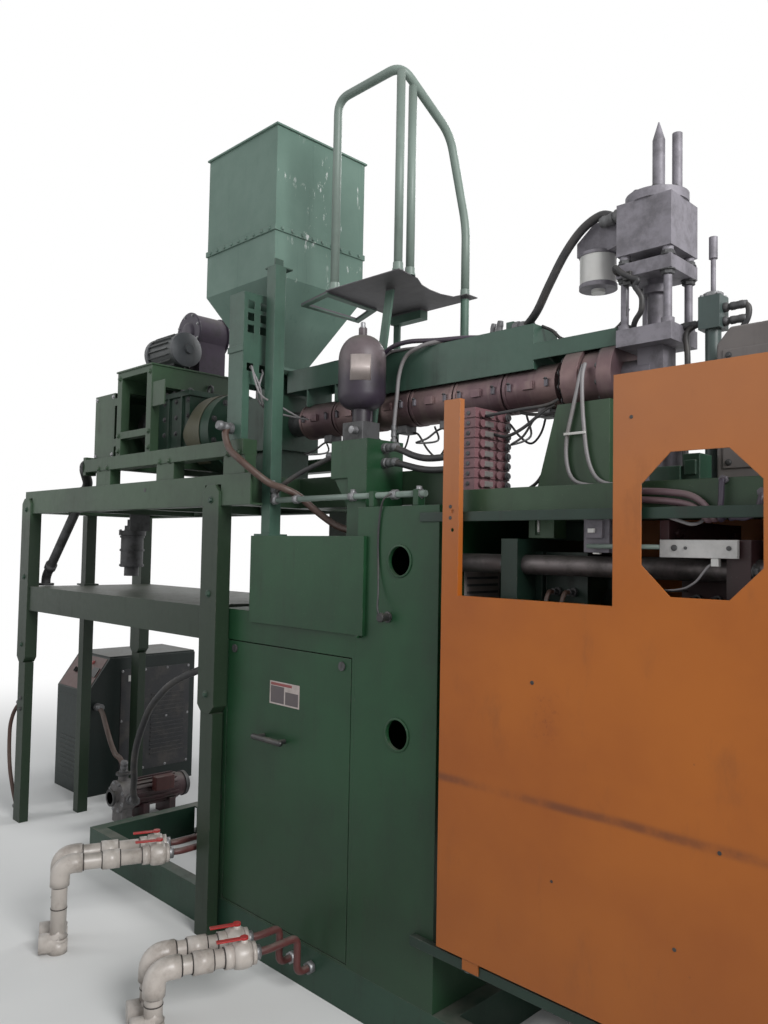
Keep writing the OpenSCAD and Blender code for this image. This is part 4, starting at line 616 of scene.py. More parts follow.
def add_plates(name, boxes, finish, body="frame", bevel=1):
    """Flat plates and bars, one chamfered box for each (lowest corner, highest corner) pair."""
    corners = np.array([[(i >> 0) & 1, (i >> 1) & 1, (i >> 2) & 1] for i in range(8)], float)
    low = np.array([b[0] for b in boxes], float)[:, None]
    high = np.array([b[1] for b in boxes], float)[:, None]
    vertices = (low + (high - low) * corners[None]).reshape(-1, 3)
    sides = np.array([(0, 2, 3, 1), (4, 5, 7, 6), (0, 1, 5, 4), (2, 6, 7, 3), (0, 4, 6, 2), (1, 3, 7, 5)])
    faces = (np.arange(len(boxes))[:, None, None] * 8 + sides[None]).reshape(-1, 4).tolist()
    piece = add_piece(name, vertices, faces, finish, body, smooth=False)
    if bevel:
        add_bevel(piece, bevel)
    return piece


def add_slab(name, outline, rise, finish):
    """A flat slab between an outline and the same outline moved by rise."""
    n = len(outline)
    faces = [[k, (k + 1) % n, n + (k + 1) % n, n + k] for k in range(n)]
    faces += [list(range(n - 1, -1, -1)), list(range(n, 2 * n))]
    outline = np.array(outline, float)
    return add_piece(name, np.vstack([outline, outline + rise]), faces, finish, smooth=False)


def hex_bolts(name, places, axis, radius, height, finish="dark_iron", body="frame", washer=1.5):
    """Hexagon heads on washers: six-sided prisms with a chamfered top, one for each place."""
    axis = unit(np.array(axis, float))
    u, v = frame_about(axis)
    cos, sin = circle(12)
    turn = np.linspace(0, 2 * np.pi, 12, endpoint=False)
    hexagon = 1.0 / np.cos((turn % (np.pi / 3)) - np.pi / 6)[:, None]
    rings = [(0.0, washer), (0.22, washer), (0.22, 0.87 * hexagon), (0.88, 0.87 * hexagon),
        (1.0, 0.74 * hexagon)]
    one = np.vstack([height * rise * axis + radius * size * (cos * u + sin * v) for rise, size in rings])
    shape = grid_faces(len(rings), 12)
    vertices, faces = joined([(place + one, shape) for place in np.array(places, float)])
    return add_piece(name, vertices, faces, finish, body, smooth=False)


# Radius, finish and route of each hose of the source, redrawn as round tubes
HOSES = {
    "head_hose": (14, "rubber", [[867.7, 262, 2632], [847, 262, 2632], [800, 262, 2650], [735, 262, 2625],
        [671, 262, 2562], [606, 270, 2475], [547, 290, 2406], [490, 315, 2374], [470, 320, 2371],
        [440.3, 320, 2371]]),
    "brown_hose": (14, "rubber_brown", [[-700, -60.3, 2080], [-700, -80, 2080], [-692, -96, 2050],
        [-660, -95, 1990], [-590, -95, 1945], [-540, -60, 1895], [-500, -10, 1850], [-455, 20, 1832],
        [-420, 72, 1802], [-370, 120, 1745], [-288, 150, 1690], [-200, 150, 1668], [-160, 150, 1666],
        [-124.3, 150, 1666]]),
    "black_hose": (10, "rubber", [[-217.3, 100, 1950], [-250, 100, 1950], [-320, 85, 1925],
        [-400, 68, 1895], [-470, 45, 1855], [-515, 30, 1815], [-515, 30, 1797.3]]),
    "upper_hose": (12, "rubber", [[-23.7, 150, 1970], [20, 150, 1970], [66, 150, 1956], [120, 150, 1935],
        [178, 150, 1921], [240, 150, 1918], [300, 150, 1922], [350, 150, 1931], [383.7, 150, 1931]]),
    "lower_hose": (12, "rubber", [[-23.7, 150, 1915], [20, 150, 1915], [67, 150, 1906], [140, 150, 1888],
        [202, 150, 1878], [270, 150, 1876], [320, 150, 1880], [350, 150, 1885], [383.7, 150, 1885]]),
    "pump_hose": (18, "rubber", [[-820.3, 300, 1100], [-860, 300, 1100], [-1000, 300, 1090],
        [-1250, 300, 1040], [-1533, 300, 949], [-1700, 300, 880], [-1818, 300, 804], [-1920, 300, 715],
        [-1986, 300, 619], [-2030, 300, 540], [-2060, 300, 460], [-2080, 305, 380], [-2100, 320, 300],
        [-2140, 340, 220], [-2170, 368, 162], [-2215, 380, 150], [-2244.7, 380, 150]]),
    "unit_hose": (15, "rubber_brown", [[-2894.7, 480, 560], [-2860, 480, 560], [-2790, 470, 530],
        [-2700, 450, 470], [-2600, 430, 400], [-2500, 410, 352], [-2420, 396, 345], [-2368, 386, 332],
        [-2335, 380, 300], [-2335, 380, 280.3]]),
}


def ferrule(end, inward, radius):
    """Hose end: a hexagon-sized nut, a step and a crimped sleeve over the first stretch of the hose."""
    along = np.array([-4, 14, 16, 22, 24, 34, 36, 46, 48, 58, 60, 68], float)
    swell = np.array([1.62, 1.62, 1.15, 1.15, 1.42, 1.42, 1.33, 1.33, 1.42, 1.42, 1.33, 1.2])
    return end + along[:, None] * inward, radius * swell


def fittings(path, radius):
    """The two ends of a hose."""
    starts = ((path[0], path[2]), (path[-1], path[-3]))
    return [ferrule(end, unit(inside - end), radius) for end, inside in starts]


def make_hoses():
    """The hoses between the machine's units, with their ends."""
    ends = []
    by_finish = {}
    for radius, finish, route in HOSES.values():
        path = curve_through(route)
        by_finish.setdefault(finish, []).append((path, radius))
        ends += fittings(path, radius)
    for finish, runs in by_finish.items():
        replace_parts(add_tubes("hoses_" + finish, runs, finish, sides=20), "hoses")
    fitted = add_tubes("hose_ends", ends, "dull_sheet", sides=12)
    sharpen(fitted)
    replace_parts(fitted, "hoses")


# Pairs of water pipes: place of the front riser, height, heading in degrees and length of the level run
PIPE_PAIRS = {"far_pipes": (-1200, -490, 335, 66, 372), "near_pipes": (-437, -513, 215, 68, 290)}
PAIR_GAP = 110
PVC_R = 30
SOCKET_R = 37
VALVE_STEPS = [(0, 34), (0.10, 34), (0.12, 41), (0.30, 44), (0.50, 45), (0.70, 44), (0.88, 41),
    (0.90, 34), (1, 34)]


def pipe_place(x, y, yaw, side, local):
    """A pipe's own (along, height) points set at its riser and turned to its heading."""
    local = np.array(local, float)
    turn = math.radians(yaw)
    ahead = np.array([math.cos(turn), math.sin(turn), 0.0])
    across = np.array([-math.sin(turn), math.cos(turn), 0.0])
    start = np.array([x, y, 0.0]) + side * across
    return start + local[:, :1] * ahead + local[:, 1:] * np.array([0.0, 0.0, 1.0])


def stepped(start, end, steps):
    """Path and radii of a straight stretch whose radius changes at the given (share, radius) steps."""
    share = np.array([s[0] for s in steps])[:, None]
    return (1 - share) * start + share * end, np.array([s[1] for s in steps])


def make_water_pipes():
    """Both pairs of white pipes: foot, riser, elbow, level run with sockets, ball valve, seams, union."""
    white = []
    seams = []
    brass = []
    for x, y, z, yaw, length in PIPE_PAIRS.values():
        for side in (0, -PAIR_GAP):
            def put(*local):
                """The (along, height) points of this pipe in the machine's own frame."""
                return pipe_place(x, y, yaw, side, local)

            joint = length * 0.42
            white.append((bent_route(put((0, 2), (0, z), (length + 38, z)), 45, 10), PVC_R))
            white.append((bent_route(put((0, z - 80), (0, z), (82, z)), 52, 10), SOCKET_R))
            white.append((put((0, 0), (0, 44)), SOCKET_R))
            white.append((bent_route(put((0, 60), (0, 38), (-70, 38)), 30, 8), SOCKET_R))
            for a, b in ((joint, joint + 66), (length - 62, length - 34), (length + 30, length + 44)):
                white.append((put((a, z), (b, z)), SOCKET_R))
            body = put((length - 38, z), (length + 36, z))
            white.append(stepped(body[0], body[1], VALVE_STEPS))
            white.append((put((length + 5, z + 36), (length + 5, z + 52)), 14))
            for a in (84, joint - 3, joint + 67, length - 65):
                seams.append((put((a, z), (a + 3.5, z)), PVC_R + 3.5))
            for h in (z - 84, 46, 0.5 * z):
                seams.append((put((0, h), (0, h + 3.5)), PVC_R + 1.5))
            brass.append((put((length + 36, z), (length + 62, z)), 24))
    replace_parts(add_tubes("pvc_pipes", white, "pvc", sides=24), "water_pipes")
    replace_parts(add_tubes("pipe_glue_seams", seams, "grime_ring", sides=24), "water_pipes")
    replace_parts(add_tubes("pipe_unions", brass, "steel", sides=6), "water_pipes")


def make_steel_pipes():
    """Steel runs from the water pipes to the cabinet, the suction pipe of the drive and the air bar."""
    ends = {}
    for name, (x, y, z, yaw, length) in PIPE_PAIRS.items():
        ends[name] = [pipe_place(x, y, yaw, side, [[length + 40, z]])[0] for side in (0, -PAIR_GAP)]
    runs = []
    nuts = []
    for (x, y, z), back in zip(ends["far_pipes"], (120, 60)):
        route = [[x, y, z], [x + 20, y + 45, z], [x + 20, back, z], [CABINET_LEFT, back, z]]
        runs.append((bent_route(route, 18), 13))
        nuts.append(([[CABINET_LEFT - 22, back, z], [CABINET_LEFT, back, z]], 22))
    for x, y, z in ends["near_pipes"]:
        route = [[x, y, z], [x + 15, y + 37, z], [x + 15, -70, z], [x + 15, -70, 90], [x + 15, 0, 90]]
        runs.append((bent_route(route, 30), 13))
        nuts.append(([[x + 15, -22, 90], [x + 15, 0, 90]], 22))
    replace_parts(add_tubes("water_runs", runs, "maroon", sides=16), "steel_pipes")
    suction = [[-2056, -25, 2000], [-2110, -25, 2000], [-2200, 45, 1925], [-2740, 60, 1400],
        [-2740, 60, DECK_TOP]]
    collars = [([[-2072, -25, 2000], [-2056, -25, 2000]], 42),
        ([[-2740, 60, DECK_TOP], [-2740, 60, DECK_TOP + 14]], 46),
        ([[-2236, 47.1, 1890], [-2262, 47.9, 1865]], 33),
        ([[-2664, 57.8, 1474], [-2690, 58.6, 1449]], 33)]
    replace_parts(add_tubes("suction_pipe", [(bent_route(suction, 30), 26)] + collars, "dark_iron",
        sides=24), "steel_pipes")
    bar = [([[-535, 30, 1786], [293, 30, 1786]], 11)]
    for x in (-515, -380, -60, 150, 262):
        nuts.append(([[x - 13, 30, 1786], [x + 13, 30, 1786]], 18))
    for x in (-515, -60, 262):
        nuts.append(([[x, 30, 1786], [x, 30, 1812]], 10))
    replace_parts(add_tubes("air_bar", bar, "rail_grey", sides=16), "steel_pipes")
    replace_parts(add_tubes("pipe_nuts", nuts, "steel", sides=6), "steel_pipes")
    clamps = [([x, 12, 1745], [x + 24, 48, 1800]) for x in (40, 250)]
    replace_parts(add_plates("air_bar_clamps", clamps, "green_body", bevel=2), "steel_pipes")


RAIL_R = 17


def make_hand_rail():
    """The rail round the service platform as a smooth tube, with its posts and feet."""
    route = [[-285, 118, PLATFORM_TOP], [-285, 118, 3373], [60, 118, 3373], [57, 400, 3220], [44, 521, 2894],
        [44, 521, PLATFORM_TOP]]
    posts = [([[60, 118, PLATFORM_TOP], [60, 118, 3356]], RAIL_R - 1),
        ([[54, 188, PLATFORM_TOP], [54, 188, 3326]], RAIL_R - 1)]
    rail = add_tubes("rail_tube", [(bent_route(route, 60, 10), RAIL_R)] + posts, "rail_grey", sides=20)
    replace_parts(rail, "hand_rail")
    feet = [((x, y, PLATFORM_TOP), UP, [(0, 21), (6, 21), (8, 20.5), (8, 19), (30, 18.5)])
        for x, y in ((-285, 118), (60, 118), (54, 188), (44, 521))]
    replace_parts(turned("rail_feet", feet, "rail_grey"), "hand_rail")


make_hoses()
make_water_pipes()
make_steel_pipes()
make_hand_rail()


def rest_on(node):
    """Lowest and highest corner of a carried-over solid, as lists in millimetres."""
    return [[1000.0 * v for v in corner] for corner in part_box(node)]


def grid_of(a0, a1, na, b0, b1, nb):
    """All pairs of na places from a0 to a1 and nb from b0 to b1."""
    a, b = np.meshgrid(np.linspace(a0, a1, na), np.linspace(b0, b1, nb))
    return np.column_stack([a.ravel(), b.ravel()])


def on_plane(pairs, axis, place):
    """Points with the pair as two coordinates and place as the one along the axis (0, 1 or 2)."""
    return np.insert(np.asarray(pairs, float), axis, place, axis=1)


def ring_of(centre, radius, count, start, axis):
    """Points evenly round a circle about an axis (0, 1 or 2)."""
    turn = math.radians(start) + np.arange(count) * 2 * np.pi / count
    pairs = radius * np.column_stack([np.cos(turn), np.sin(turn)])
    return np.array(centre) + np.insert(pairs, axis, 0.0, axis=1)


def make_front():
    """Bare sticker, holes, the columns' port rims and a sensor with its wire on the front of the machine."""
    add_plates("door_sticker", [([-481, -0.9, 992], [-300, -0.1, 1080])], "sticker", "door", 0)
    add_plates("sticker_picture", [([-474, -1.2, 998], [-392, -0.8, 1062]),
        ([-384, -1.2, 998], [-307, -0.8, 1046])], "sticker_dark", "door", 0)
    add_plates("sticker_band", [([-474, -1.2, 1065], [-345, -0.8, 1075])], "sticker_red", "door", 0)
    # painted shade: black discs stand for the shade seen in the holes
    holes = [((x, -0.4, z), FRONT, [(-1, 8), (0.8, 8)]) for x, z in [[-797, 560], [-792, 1300]]]
    turned("cabinet_holes", holes, "black_plastic", sides=16)
    sensor = [((157, 0, 1370), FRONT, [(0, 19), (4, 19), (5, 13), (26, 13), (28, 16), (40, 16),
        (43, 13)])]
    turned("column_sensor", sensor, "black_plastic", sides=24)
    wire = [[157, -38, 1370], [150, -44, 1400], [128, -20, 1450], [112, -6, 1540], [108, -5, 1640],
        [118, -6, 1730], [140, -10, 1772], [150, 20, 1790]]
    add_cables("sensor_wire", [wire], 3.5, "rubber", sides=8)
    ports = []
    for x in (207, 1703):
        for z in (985, 1560):
            ports.append(((x, 0, z), FRONT, [(0, 56), (3, 56), (4, 54), (4, 49), (0, 49), (0, 56)]))
    turned("port_rims", ports, "green_body", sides=48)


def make_platform_bolts():
    """Hexagon bolts on the sleeves, legs, rails, drive frame, gearbox and belt guard."""
    front = [[-2741, -70, 1790], [-2741, -70, 1010], [-825, -70, 1790], [-825, -70, 985],
        [-2741, -70, 1400], [-825, -70, 1400]]
    hex_bolts("sleeve_bolts", front, FRONT, 11, 9, "green_dark")
    hex_bolts("leg_bolts", [[-2741, -62, 700], [-2741, -62, 640]], FRONT, 9, 8)
    # painted shade: a black plate stands for the shade inside the slot
    add_plates("beam_slot", [([-1401, -61, 1845], [-1381, -60.2, 1863])], "black_plastic", bevel=0)
    rail = on_plane([[-1870, 1980], [-1780, 1980], [-1270, 1980], [-1190, 1980], [-730, 1980],
        [-650, 1980]], 1, -60)
    hex_bolts("rail_bolts", rail, FRONT, 10, 8, "green_beam")
    gear = np.vstack([on_plane(grid_of(-1745, -1395, 6, y, y, 1), 2, 2360.3) for y in (170, 470)])
    hex_bolts("gearbox_bolts", gear, UP, 11, 10)
    side = on_plane(grid_of(-1735, -1405, 4, 2075, 2315, 4), 1, 155)
    hex_bolts("gearbox_side_bolts", side + np.array([0, 12, 0]), FRONT, 9, 8)
    frame_front = [[-1789, 0, 2440], [-1488, 0, 2440], [-1789, 0, 2070], [-1488, 0, 2070],
        [-1789, 0, 2148], [-1488, 0, 2148]]
    hex_bolts("drive_frame_bolts", frame_front, FRONT, 10, 8, "green_beam")
    guard = on_plane([[-2050, 2060], [-1870, 2060], [-2050, 2360], [-1870, 2360]], 1, 10)
    hex_bolts("belt_guard_bolts", guard, FRONT, 8, 7, "steel")


def add_cowl(name, radius, thick, finish, steps=28):
    """Sheet about the screw's axis, from 62 to 232 degrees, whose left edge bulges by a bell curve."""
    t = np.linspace(0, 1, steps)
    turn = np.radians(62 + 170 * t)
    left = -1345 - 35 * np.exp(-((t - 0.72) / 0.10)**2)
    rows = []
    for r, edges in ((radius, (left, np.full(steps, -1243))),
            (radius + thick, (np.full(steps, -1243), left))):
        for x in edges:
            rows.append(np.column_stack([x, SCREW_Y + r * np.cos(turn), SCREW_Z + r * np.sin(turn)]))
    k = np.arange(steps - 1)
    faces = []
    for row in range(4):
        a = row * steps + k
        b = (row + 1) % 4 * steps + k
        faces += np.column_stack([a, a + 1, b + 1, b]).tolist()
    ends = [0, steps, 2 * steps, 3 * steps]
    faces += [ends, [e + steps - 1 for e in reversed(ends)]]
    sharpen(add_piece(name, np.vstack(rows), faces, finish), 30)


def make_drive():
    """Cowl and bolts of the thrust housing, caps and rims of the blower, fan cover and lifting eyes."""
    add_cowl("thrust_cowl", 191.5, 3, "cowl_tan")
    hex_bolts("cowl_bolts", ring_of((-1170, SCREW_Y, SCREW_Z), 165, 10, 18, 0), RIGHT, 10, 9)
    hex_bolts("thrust_bolts", ring_of((-1130, SCREW_Y, SCREW_Z), 85, 8, 22, 0), RIGHT, 9, 8, "steel")
    fan = [((-1790, 240, 2600), LEFT, [(0, 92), (30, 92), (44, 84), (50, 66), (50, 58), (46, 58),
        (46, 44), (50, 44), (50, 30), (46, 30), (46, 16), (52, 16), (52, 4)]),
        ((-1570, 240, 2600), RIGHT, [(0, 88), (16, 88), (22, 70), (30, 36), (30, 24), (50, 24)])]
    turned("blower_caps", fan, "motor_grey", sides=40)
    scroll = [((SCROLL_X, 340, SCROLL_Z), FRONT, [(-4, 112), (3, 112), (6, 108), (6, 60), (12, 56),
        (20, 42)]), ((SCROLL_X, 520, SCROLL_Z), REAR, [(-4, 112), (3, 112), (6, 108), (6, 30), (2, 30)])]
    turned("scroll_rims", scroll, "purple_grey", sides=48)
    hex_bolts("scroll_bolts", ring_of((SCROLL_X, 334, SCROLL_Z), 98, 8, 22, 1), FRONT, 6, 6, "steel")
    rear = [((-1400, 650, 2230), RIGHT, [(0, 100), (28, 100), (38, 90), (42, 70), (38, 70), (38, 52),
        (42, 52), (42, 34), (38, 34), (38, 12)])]
    turned("motor_fan_cover", rear, "green_dark", sides=40)
    eyes = []
    turn = np.linspace(-0.35 * np.pi, 1.35 * np.pi, 22)
    for x in (-1690, -1450):
        ring = np.column_stack([x + 20 * np.cos(turn), np.full(22, SCREW_Y), 2390 + 20 * np.sin(turn)])
        eyes.append((ring, 6.5))
        eyes.append(([[x, SCREW_Y, 2360], [x, SCREW_Y, 2372]], 11))
    add_tubes("lifting_eyes", eyes, "dark_iron", sides=12)


def make_leg_hose():
    """Brown hose that bows out beside the left leg, between a fitting at its middle and one at its foot."""
    x = -2786.3
    route = [[x, -30, 655], [-2810, -30, 655], [-2850, -32, 640], [-2890, -40, 590], [-2910, -48, 520],
        [-2912, -50, 440], [-2906, -50, 350], [-2890, -48, 260], [-2868, -42, 180], [-2842, -36, 110],
        [-2818, -31, 66], [-2806, -30, 55], [x, -30, 52]]
    path = curve_through(route)
    add_tubes("leg_hose", [(path, 11)], "rubber_brown")
    sharpen(add_tubes("leg_hose_ends", fittings(path, 11), "dull_sheet", sides=12))


def make_hood_hoses():
    """Two hoses that run over the barrel's hood and drop in front of it to the bottle's stand."""
    purple = [[340, 350, 2352.3], [340, 350, 2360], [332, 344, 2365], [300, 318, 2362], [250, 280, 2362],
        [190, 258, 2363], [131, 250, 2367], [28, 240, 2379], [-30, 233, 2378], [-75, 228, 2369],
        [-112, 226, 2348], [-139, 226, 2308], [-157, 226, 2250], [-170, 226, 2197], [-178, 226, 2131],
        [-181, 226, 2064], [-181, 226, 2020], [-181, 226, 2000.3]]
    grey = [[300, 362, 2352.3], [300, 362, 2359], [292, 356, 2363], [262, 330, 2361], [220, 288, 2361],
        [180, 262, 2362], [140, 250, 2361], [104, 236, 2356], [69, 228, 2347], [16, 226, 2330],
        [-14, 226, 2297], [-31, 226, 2247], [-38, 226, 2182], [-46, 226, 2116], [-52, 226, 2051],
        [-52, 226, 2020], [-52, 226, 2000.3]]
    ends = []
    for name, finish, radius, route in (("purple", "hose_purple", 8.8, purple),
            ("grey", "cable_grey", 7.5, grey)):
        path = curve_through(route)
        add_tubes("hood_hose_" + name, [(path, radius)], finish)
        ends += fittings(path, radius)
    sharpen(add_tubes("hood_hose_ends", ends, "dull_sheet", sides=12))


make_hood_hoses()
make_leg_hose()
make_front()
make_platform_bolts()
make_drive()


BAND_START = -640
BAND_END = 646
BAND_COUNT = 6
BAND_R = 75


def make_barrel_dressing():
    """Clamp screws and rims of the heater bands, terminal boxes with leads, and the adapter's bolts."""
    gap = 8
    length = (BAND_END - BAND_START + gap) / BAND_COUNT - gap
    starts = BAND_START + (length + gap) * np.arange(BAND_COUNT)
    rims = []
    for x in starts:
        for at in (x, x + length - 12):
            rims.append(((at, SCREW_Y, SCREW_Z), RIGHT,
                [(0, BAND_R), (0, BAND_R + 2.2), (12, BAND_R + 2.2), (12, BAND_R), (0, BAND_R)]))
    turned("band_rims", rims, "heat_tanned_steel", sides=48)
    screws = [(x + s, SCREW_Y - BAND_R - 8, SCREW_Z) for x in starts for s in (30, length - 30)]
    bars = [(np.array(s) - (6, 0, 12), np.array(s) + (6, 10, 12)) for s in screws]
    add_plates("band_clamps", bars, "head_dark", bevel=1.5)
    hex_bolts("band_screws", [np.array(s) + (0, 0, 12) for s in screws], UP, 5, 5)
    boxes = [((x + length * 0.66 - 24, SCREW_Y - 30, SCREW_Z - BAND_R - 26),
        (x + length * 0.66 + 24, SCREW_Y + 30, SCREW_Z - BAND_R + 6)) for x in starts]
    add_plates("band_terminals", boxes, "dull_sheet", bevel=3)
    leads = []
    for n, x in enumerate(starts):
        c = x + length * 0.66
        low = SCREW_Z - BAND_R - 20
        sag = 55 + 20 * (n % 3)
        for k in (-1, 1):
            route = [(c + 24 * k, SCREW_Y + 12 * k, low), (c + 45 * k, SCREW_Y + 20 * k, low - 10),
                (c + 70 * k, SCREW_Y + 45 * k, low - sag * 0.7),
                (c + 100 * k, SCREW_Y + 70 * k, low - sag), (c + 130 * k, SCREW_Y + 85, low - sag * 0.5),
                (c + 150 * k, SCREW_Y + 88, low + 30)]
            leads.append((curve_through(route, 6), 4))
    add_tubes("band_leads", leads, "rubber", sides=8)
    adapter = ring_of((674, SCREW_Y, SCREW_Z), 88, 12, 15, 0)
    hex_bolts("adapter_bolts", adapter, LEFT, 8.5, 8)
    hex_bolts("adapter_back_bolts", ring_of((812, SCREW_Y, SCREW_Z), 98, 12, 15, 0), LEFT, 8, 8)
    middle = [((750, SCREW_Y, SCREW_Z), RIGHT, [(0, 90.2), (0, 96), (58, 96), (58, 90.2), (0, 90.2)])]
    turned("adapter_band", middle, "heat_tanned_steel", sides=48)


def make_cables():
    """Cables over the hood, leads from the adapter to the table, wires from the duct, looms on the head."""
    pale = [[[770, 212, 2176], [768, 196, 2140], [763, 190, 2101], [748, 188, 2035], [728, 188, 1945],
        [730, 188, 1870], [752, 188, 1822], [800, 188, 1803], [868, 194, 1799], [930, 204, 1798.5]],
        [[776, 212, 2180], [777, 196, 2140], [780, 190, 2080], [786, 188, 2001], [800, 188, 1893],
        [826, 188, 1830], [868, 190, 1804], [940, 196, 1798.5]], [[-162, 222, 2180], [-150, 226, 2290],
        [-112, 240, 2350], [-60, 262, 2364], [54, 280, 2361], [177, 290, 2361], [300, 296, 2361],
        [392, 300, 2361], [430, 316, 2366]]]
    add_cables("pale_cables", pale, 6.2, "cable_grey")
    dark = [[[-175, 215, 2150], [-168, 222, 2260], [-142, 244, 2344], [-96, 268, 2362], [10, 300, 2360],
        [130, 306, 2360], [260, 310, 2360], [396, 312, 2362]], [[-735, 300, 2384], [-640, 296, 2380],
        [-520, 286, 2380], [-410, 290, 2379], [-330, 300, 2345], [-240, 310, 2300], [-140, 316, 2356],
        [-20, 322, 2359], [120, 326, 2359]], [[560, 300, 2352], [600, 300, 2330], [640, 305, 2296],
        [720, 310, 2290], [800, 315, 2291], [846, 316, 2320], [872, 300, 2350]],
        [[478, 296, 2070], [520, 300, 2060], [590, 290, 2052], [640, 262, 2040], [655, 240, 1980],
        [640, 235, 1900], [600, 230, 1830], [560, 226, 1800]],
        [[452, 140, 2040], [500, 150, 2046], [560, 180, 2056], [630, 220, 2068], [668, 236, 2084]],
        [[450, 190, 1985], [500, 190, 1975], [560, 200, 2000], [620, 226, 2052], [650, 240, 2070]]]
    add_cables("dark_cables", dark, 5.5, "rubber")
    duct = [[[-637, -24, 2332], [-618, -28, 2322], [-600, -22, 2290], [-588, -4, 2240], [-600, 16, 2190],
        [-616, 60, 2160], [-600, 150, 2150], [-560, 230, 2140]], [[-637, -20, 2336], [-612, -30, 2326],
        [-590, -30, 2270], [-574, -8, 2210], [-560, 60, 2180], [-520, 160, 2130]],
        [[-637, 38, 2330], [-622, 30, 2310], [-612, 8, 2260], [-620, 6, 2210], [-630, 60, 2170],
        [-612, 180, 2150]]]
    add_cables("duct_wires", duct, 4.2, "cable_grey", sides=8)
    loops = [[[1158, 320, 2302], [1189, 320, 2304], [1212, 320, 2303], [1226, 320, 2290],
        [1224, 320, 2262], [1206, 320, 2225], [1192, 324, 2160], [1184, 330, 2060], [1170, 340, 1940],
        [1150, 346, 1850], [1146, 348, 1796]], [[878, 236, 2440], [872, 224, 2446], [876, 214, 2455],
        [900, 212, 2432], [926, 218, 2414], [944, 222, 2404], [934, 224, 2390], [944, 226, 2372],
        [954, 228, 2350], [950, 232, 2315], [930, 240, 2294], [918, 250, 2281], [915, 256, 2269.5]],
        [[1096, 320, 2268], [1070, 318, 2262], [1052, 310, 2240], [1060, 300, 2180], [1068, 282, 2130],
        [1072, 262, 2090], [1082, 234, 2000], [1088, 226, 1900], [1090, 224, 1796]],
        [[560, 226, 1800], [520, 220, 1798], [470, 210, 1800]]]
    add_cables("head_loops", loops, 8.5, "rubber", sides=14)
    ends = []
    for start, toward in (((1158, 320, 2302), RIGHT), ((1096, 320, 2268), LEFT),
            ((1158, 320, 2262), RIGHT)):
        ends.append(ferrule(np.array(start) - 4 * np.array(toward, float), np.array(toward, float), 8.5))
    add_tubes("head_loop_ends", ends, "dark_iron", sides=12)
    add_plates("cable_tie_strip", [([722, 179, 1958], [798, 184, 1966])], "pale_plastic")


def make_head_dressing():
    """Nuts, screws, collars and the ram's switch on the accumulator head and its side cylinder."""
    off = 174 / 2 - 19
    posts = [(HEAD_X + a * off, SCREW_Y + b * off) for a in (-1, 1) for b in (-1, 1)]
    top = rest_on("head_frame")[1][2]
    hex_bolts("head_post_nuts", [(x, y, top - 26) for x, y in posts], UP, 19, 16, washer=1.2)
    low_plate = rest_on("head_block")[0][2] - 67
    under = [(x, y, low_plate) for x, y in posts]
    hex_bolts("head_under_nuts", under, DOWN, 19, 16, washer=1.2)
    hex_bolts("cap_screws", ring_of((HEAD_X, SCREW_Y, 2680), 78, 8, 22, 2), UP, 9, 8)
    bits = [((757, 320, 2545), UP, [(-4, 60.5), (6, 60.5), (8, 58)]),
        ((757, 320, 2441), UP, [(-3, 60), (10, 60), (12, 58.2)]),
        ((HEAD_X + 5, 320, 2680), UP, [(0, 30), (20, 30), (24, 26), (24, 18.7)]),
        ((HEAD_X + 52, 345, 2680), UP, [(0, 24), (14, 24), (18, 20), (18, 15.2)])]
    turned("head_collars", bits, "head_grey", sides=40)
    cylinder = [((1127, 320, 2337), UP, [(0, 28), (10, 28), (13, 24), (13, 14)])]
    turned("side_cylinder_gland", cylinder, "steel")
    hex_bolts("side_cylinder_screws", [(1127 + a * 23, 320 + b * 23, 2337) for a in (-1, 1)
        for b in (-1, 1)], UP, 6, 6, "steel")
    add_plates("ram_switch", [([893, 224, 2398], [921, 246, 2440]), ([899, 214, 2410], [915, 224, 2426])],
        "black_plastic", bevel=2)
    stay = [([[894, 247, 2310], [894, 247, 2470]], 4)]
    add_tubes("switch_stay", stay, "steel", sides=8)


def make_guard_dressing():
    """Holes of the orange guard, and the rollers and stiffeners behind it."""
    # painted shade: black discs stand for the shade seen through the holes
    holes = [((x, -30.2, z), FRONT, [(-1, r), (0.6, r)])
        for x, z, r in ((450, 1735, 6), (450, 1700, 6), (1060, 1955, 5), (760, 1230, 6), (1290, 900, 5),
        (830, 700, 4), (1180, 640, 5))]
    turned("guard_holes", holes, "black_plastic", "front_guard", 16)
    wheels = []
    for x in (520, 1370):
        wheels.append(((x, -7, 357), REAR, [(0, 10), (1, 24), (4.5, 24), (5.5, 10)]))
    turned("guard_rollers", wheels, "steel", "front_guard", 32)
    stiff = [((700, -8, 400), (740, -1, 1430)), ((1230, -8, 400), (1270, -1, 1470))]
    add_plates("guard_stiffeners", stiff, "guard_orange", "front_guard", 1)


